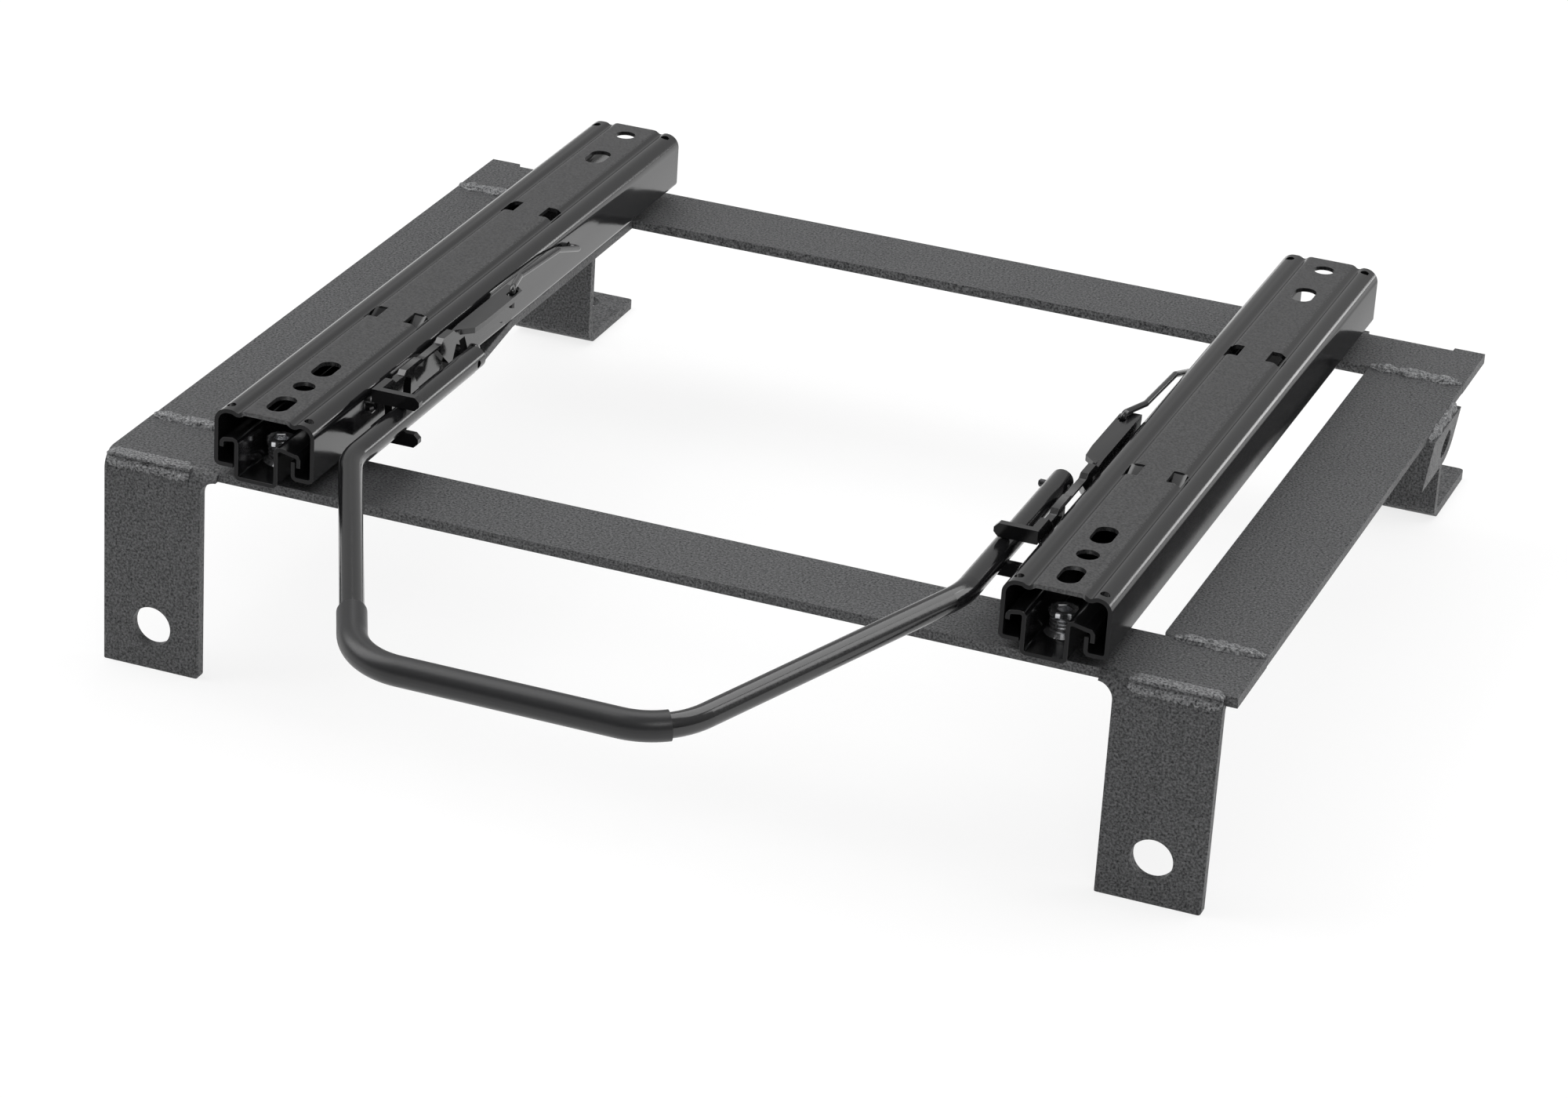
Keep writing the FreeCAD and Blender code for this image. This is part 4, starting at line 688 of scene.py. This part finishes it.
def slider_bolts(node_name):
    """The front and the rear bolt of one slider, in the place of the plain ones."""
    low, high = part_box(node_name)
    _, frame_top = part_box("front_crossbar")
    middle = (low.x + high.x) / 2
    seat = frame_top.z + BOLT_SEAT
    shape = bmesh.new()
    for y in (low.y + NUT_RADIUS, high.y - NUT_RADIUS):
        socket_bolt(shape, Vector((middle, y)), low.z, seat, high.z)
    piece = settle(shape, node_name + "_socketed", zinc_finish, "frame")
    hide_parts(node_name)


zinc_finish = bright_zinc()
slider_bolts("slider_bolts_left")
slider_bolts("slider_bolts_right")


# Cross pin: a short blackened spring pin through the right arm of the release bar. The
# left arm's cross hole is empty.

PIN_BLACK = (0.05, 0.05, 0.052, 1)
PIN_CLOUDS = 900
pin_finish = cloudy_metal("blackened_steel", PIN_BLACK, 0.3, PIN_CLOUDS, 0.22, 0.4)
dress("cross_pin", pin_finish)


# Latch levers, pivot studs, stop screws and spring wires: pressed 3 mm steel, turned
# pieces and music wire, all in the rails' gloss black.

LEVER_EDGE = 0.4 * MM
for side in ("left", "right"):
    lever = "latch_lever_" + side
    sheet_piece(lever, rail_finish, "release_handle", LEVER_EDGE)
    dress("pivot_stud_" + side, rail_finish)
    dress("stop_screw_" + side, rail_finish)
    dress("spring_wire_" + side, rail_finish)


# Release bar: one 9 mm steel tube, bent cold into a flat hoop between both sliders and
# coated gloss black. Its arms end in the forks of the latch levers.

dress("release_bar", rail_finish)


# Grip sleeve: a satin black vinyl tube pushed over the front of the bar, trimmed square
# at both ends.

SLEEVE_BLACK = (0.012, 0.012, 0.013, 1)
VINYL_GRAIN = 1800


def satin_vinyl():
    """Soft vinyl with an even, very fine grain."""
    material, shader, tree, add = finish_material("satin_vinyl", SLEEVE_BLACK, 0.36)
    fine = grain(add, VINYL_GRAIN)
    rough = spread(add, fine, low=0.3, high=0.42)
    tree.links.new(rough, shader.inputs["Roughness"])
    bumped(tree, add, shader, fine, distance=0.05 * MM, strength=0.3)
    return material


dress("grip_sleeve", satin_vinyl())


# Studio: a white floor just under the front legs and the rear toes, which aren't level,
# a pale room, and soft lamps on all sides.

FLOOR_PALE = (0.93, 0.93, 0.93, 1)
FLOOR_GLOW = 0.8
FLOOR_GAP = 0.2 * MM
FLOOR_HALF = 30
WALL_FRONT = 0.07
WALL_REAR = 0.55
CEILING = 0.46
CEILING_RISE = 0.8
MIDDLE = (cad_low + cad_high) / 2


def floor_material():
    """White floor that keeps only a share of its shading, as a lit table does."""
    material, shader, tree, add = finish_material("white_table", FLOOR_PALE, 0.9)
    shader.inputs["Specular IOR Level"].default_value = 0.1
    glow = add("ShaderNodeEmission", {"Color": (1, 1, 1, 1), "Strength": 1.0})
    rays = add("ShaderNodeLightPath").outputs
    seen = math_of(tree, add, "MAXIMUM", rays["Is Camera Ray"], rays["Is Glossy Ray"])
    share = math_of(tree, add, "MULTIPLY", seen, FLOOR_GLOW)
    mixed = add("ShaderNodeMixShader", Fac=share)
    tree.links.new(shader.outputs["BSDF"], mixed.inputs[1])
    tree.links.new(glow.outputs["Emission"], mixed.inputs[2])
    output = tree.nodes["Material Output"]
    tree.links.new(mixed.outputs["Shader"], output.inputs["Surface"])
    return material


def lay_floor():
    """The floor, sloped a little so that the front legs and rear toes stand on it."""
    low_front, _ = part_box("front_crossbar")
    low_rear, high_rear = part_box("rear_crossbar")
    front = Vector((0, low_front.y, low_front.z - FLOOR_GAP))
    rear = Vector((0, high_rear.y, low_rear.z - FLOOR_GAP))
    slope = math.atan2(rear.z - front.z, rear.y - front.y)
    shape = bmesh.new()
    bmesh.ops.create_grid(shape, x_segments=1, y_segments=1, size=FLOOR_HALF)
    turn = Matrix.Rotation(slope, 4, "X")
    bmesh.ops.transform(
        shape, matrix=Matrix.Translation((front + rear) / 2) @ turn, verts=shape.verts
    )
    mesh = bpy.data.meshes.new("table_top")
    shape.to_mesh(mesh)
    shape.free()
    mesh.materials.append(floor_material())
    floor = bpy.data.objects.new("table_top", mesh)
    bpy.context.collection.objects.link(floor)


def light_room():
    """White to the camera; as light, dark in front and brighter behind and above."""
    world = bpy.data.worlds.new("studio")
    bpy.context.scene.world = world
    world.use_nodes = True
    tree = world.node_tree
    backdrop = tree.nodes["Background"]
    backdrop.inputs["Color"].default_value = (1, 1, 1, 1)
    backdrop.inputs["Strength"].default_value = 1.0
    room = tree.nodes.new("ShaderNodeBackground")
    where = tree.nodes.new("ShaderNodeTexCoord")
    apart = tree.nodes.new("ShaderNodeSeparateXYZ")
    tree.links.new(where.outputs["Generated"], apart.inputs["Vector"])
    wall = tree.nodes.new("ShaderNodeMapRange")
    wall.inputs["From Min"].default_value = -1
    wall.inputs["To Min"].default_value = WALL_FRONT
    wall.inputs["To Max"].default_value = WALL_REAR
    tree.links.new(apart.outputs["Y"], wall.inputs["Value"])
    rise = tree.nodes.new("ShaderNodeMapRange")
    rise.inputs["From Max"].default_value = CEILING_RISE
    tree.links.new(apart.outputs["Z"], rise.inputs["Value"])
    around = tree.nodes.new("ShaderNodeMix")
    around.data_type = "FLOAT"
    tree.links.new(rise.outputs["Result"], around.inputs["Factor"])
    tree.links.new(wall.outputs["Result"], around.inputs["A"])
    around.inputs["B"].default_value = CEILING
    tree.links.new(around.outputs["Result"], room.inputs["Color"])
    room.inputs["Strength"].default_value = 1.0
    rays = tree.nodes.new("ShaderNodeLightPath")
    mixed = tree.nodes.new("ShaderNodeMixShader")
    tree.links.new(rays.outputs["Is Camera Ray"], mixed.inputs["Fac"])
    tree.links.new(room.outputs["Background"], mixed.inputs[1])
    tree.links.new(backdrop.outputs["Background"], mixed.inputs[2])
    output = tree.nodes["World Output"]
    tree.links.new(mixed.outputs["Shader"], output.inputs["Surface"])


def hang_lamp(name, place, width, length, power):
    """A softbox that looks at the bracket's middle, sizes in metres and watts."""
    light = bpy.data.lights.new(name, "AREA")
    light.shape = "RECTANGLE"
    light.size = width
    light.size_y = length
    light.energy = power
    lamp = bpy.data.objects.new(name, light)
    lamp.location = place
    aim = MIDDLE - Vector(place)
    lamp.rotation_euler = aim.to_track_quat("-Z", "Y").to_euler()
    bpy.context.collection.objects.link(lamp)


lay_floor()
light_room()
hang_lamp("left_softbox", (-1.5, -0.6, 1.5), width=1.4, length=2.0, power=28)
hang_lamp("right_softbox", (1.7, 0.5, 1.3), width=1.2, length=1.6, power=14)
hang_lamp("top_softbox", (0.1, 0.5, 2.2), width=2.4, length=1.8, power=26)
hang_lamp("front_softbox", (0.9, -1.9, 1.5), width=0.5, length=0.5, power=6)
hang_lamp("rear_softbox", (1.15, 1.75, 0.4), width=0.35, length=0.35, power=1.3)


# Camera: the photograph's own place, worked out from about forty points of the outline.
# A long lens that looks down on the bracket from in front and a little to the right.

CAMERA_PLACE = Vector((602.4, -1918.6, 856.4)) * MM
CAMERA_TARGET = Vector((16.1, -291.5, 49.7)) * MM
CAMERA_ROLL = math.radians(3.666)
CAMERA_LENS = 115.9
CAMERA_SENSOR = 36


def place_camera():
    """The camera, aimed at a point of the bracket and rolled a little."""
    data = bpy.data.cameras.new("view")
    data.lens = CAMERA_LENS
    data.sensor_width = CAMERA_SENSOR
    data.clip_start = 0.05
    data.clip_end = 100
    camera = bpy.data.objects.new("view", data)
    aim = (CAMERA_TARGET - CAMERA_PLACE).to_track_quat("-Z", "Y").to_matrix().to_4x4()
    roll = Matrix.Rotation(CAMERA_ROLL, 4, "Z")
    camera.matrix_world = Matrix.Translation(CAMERA_PLACE) @ aim @ roll
    bpy.context.collection.objects.link(camera)
    bpy.context.scene.camera = camera


place_camera()
bpy.context.scene.view_settings.view_transform = "Standard"
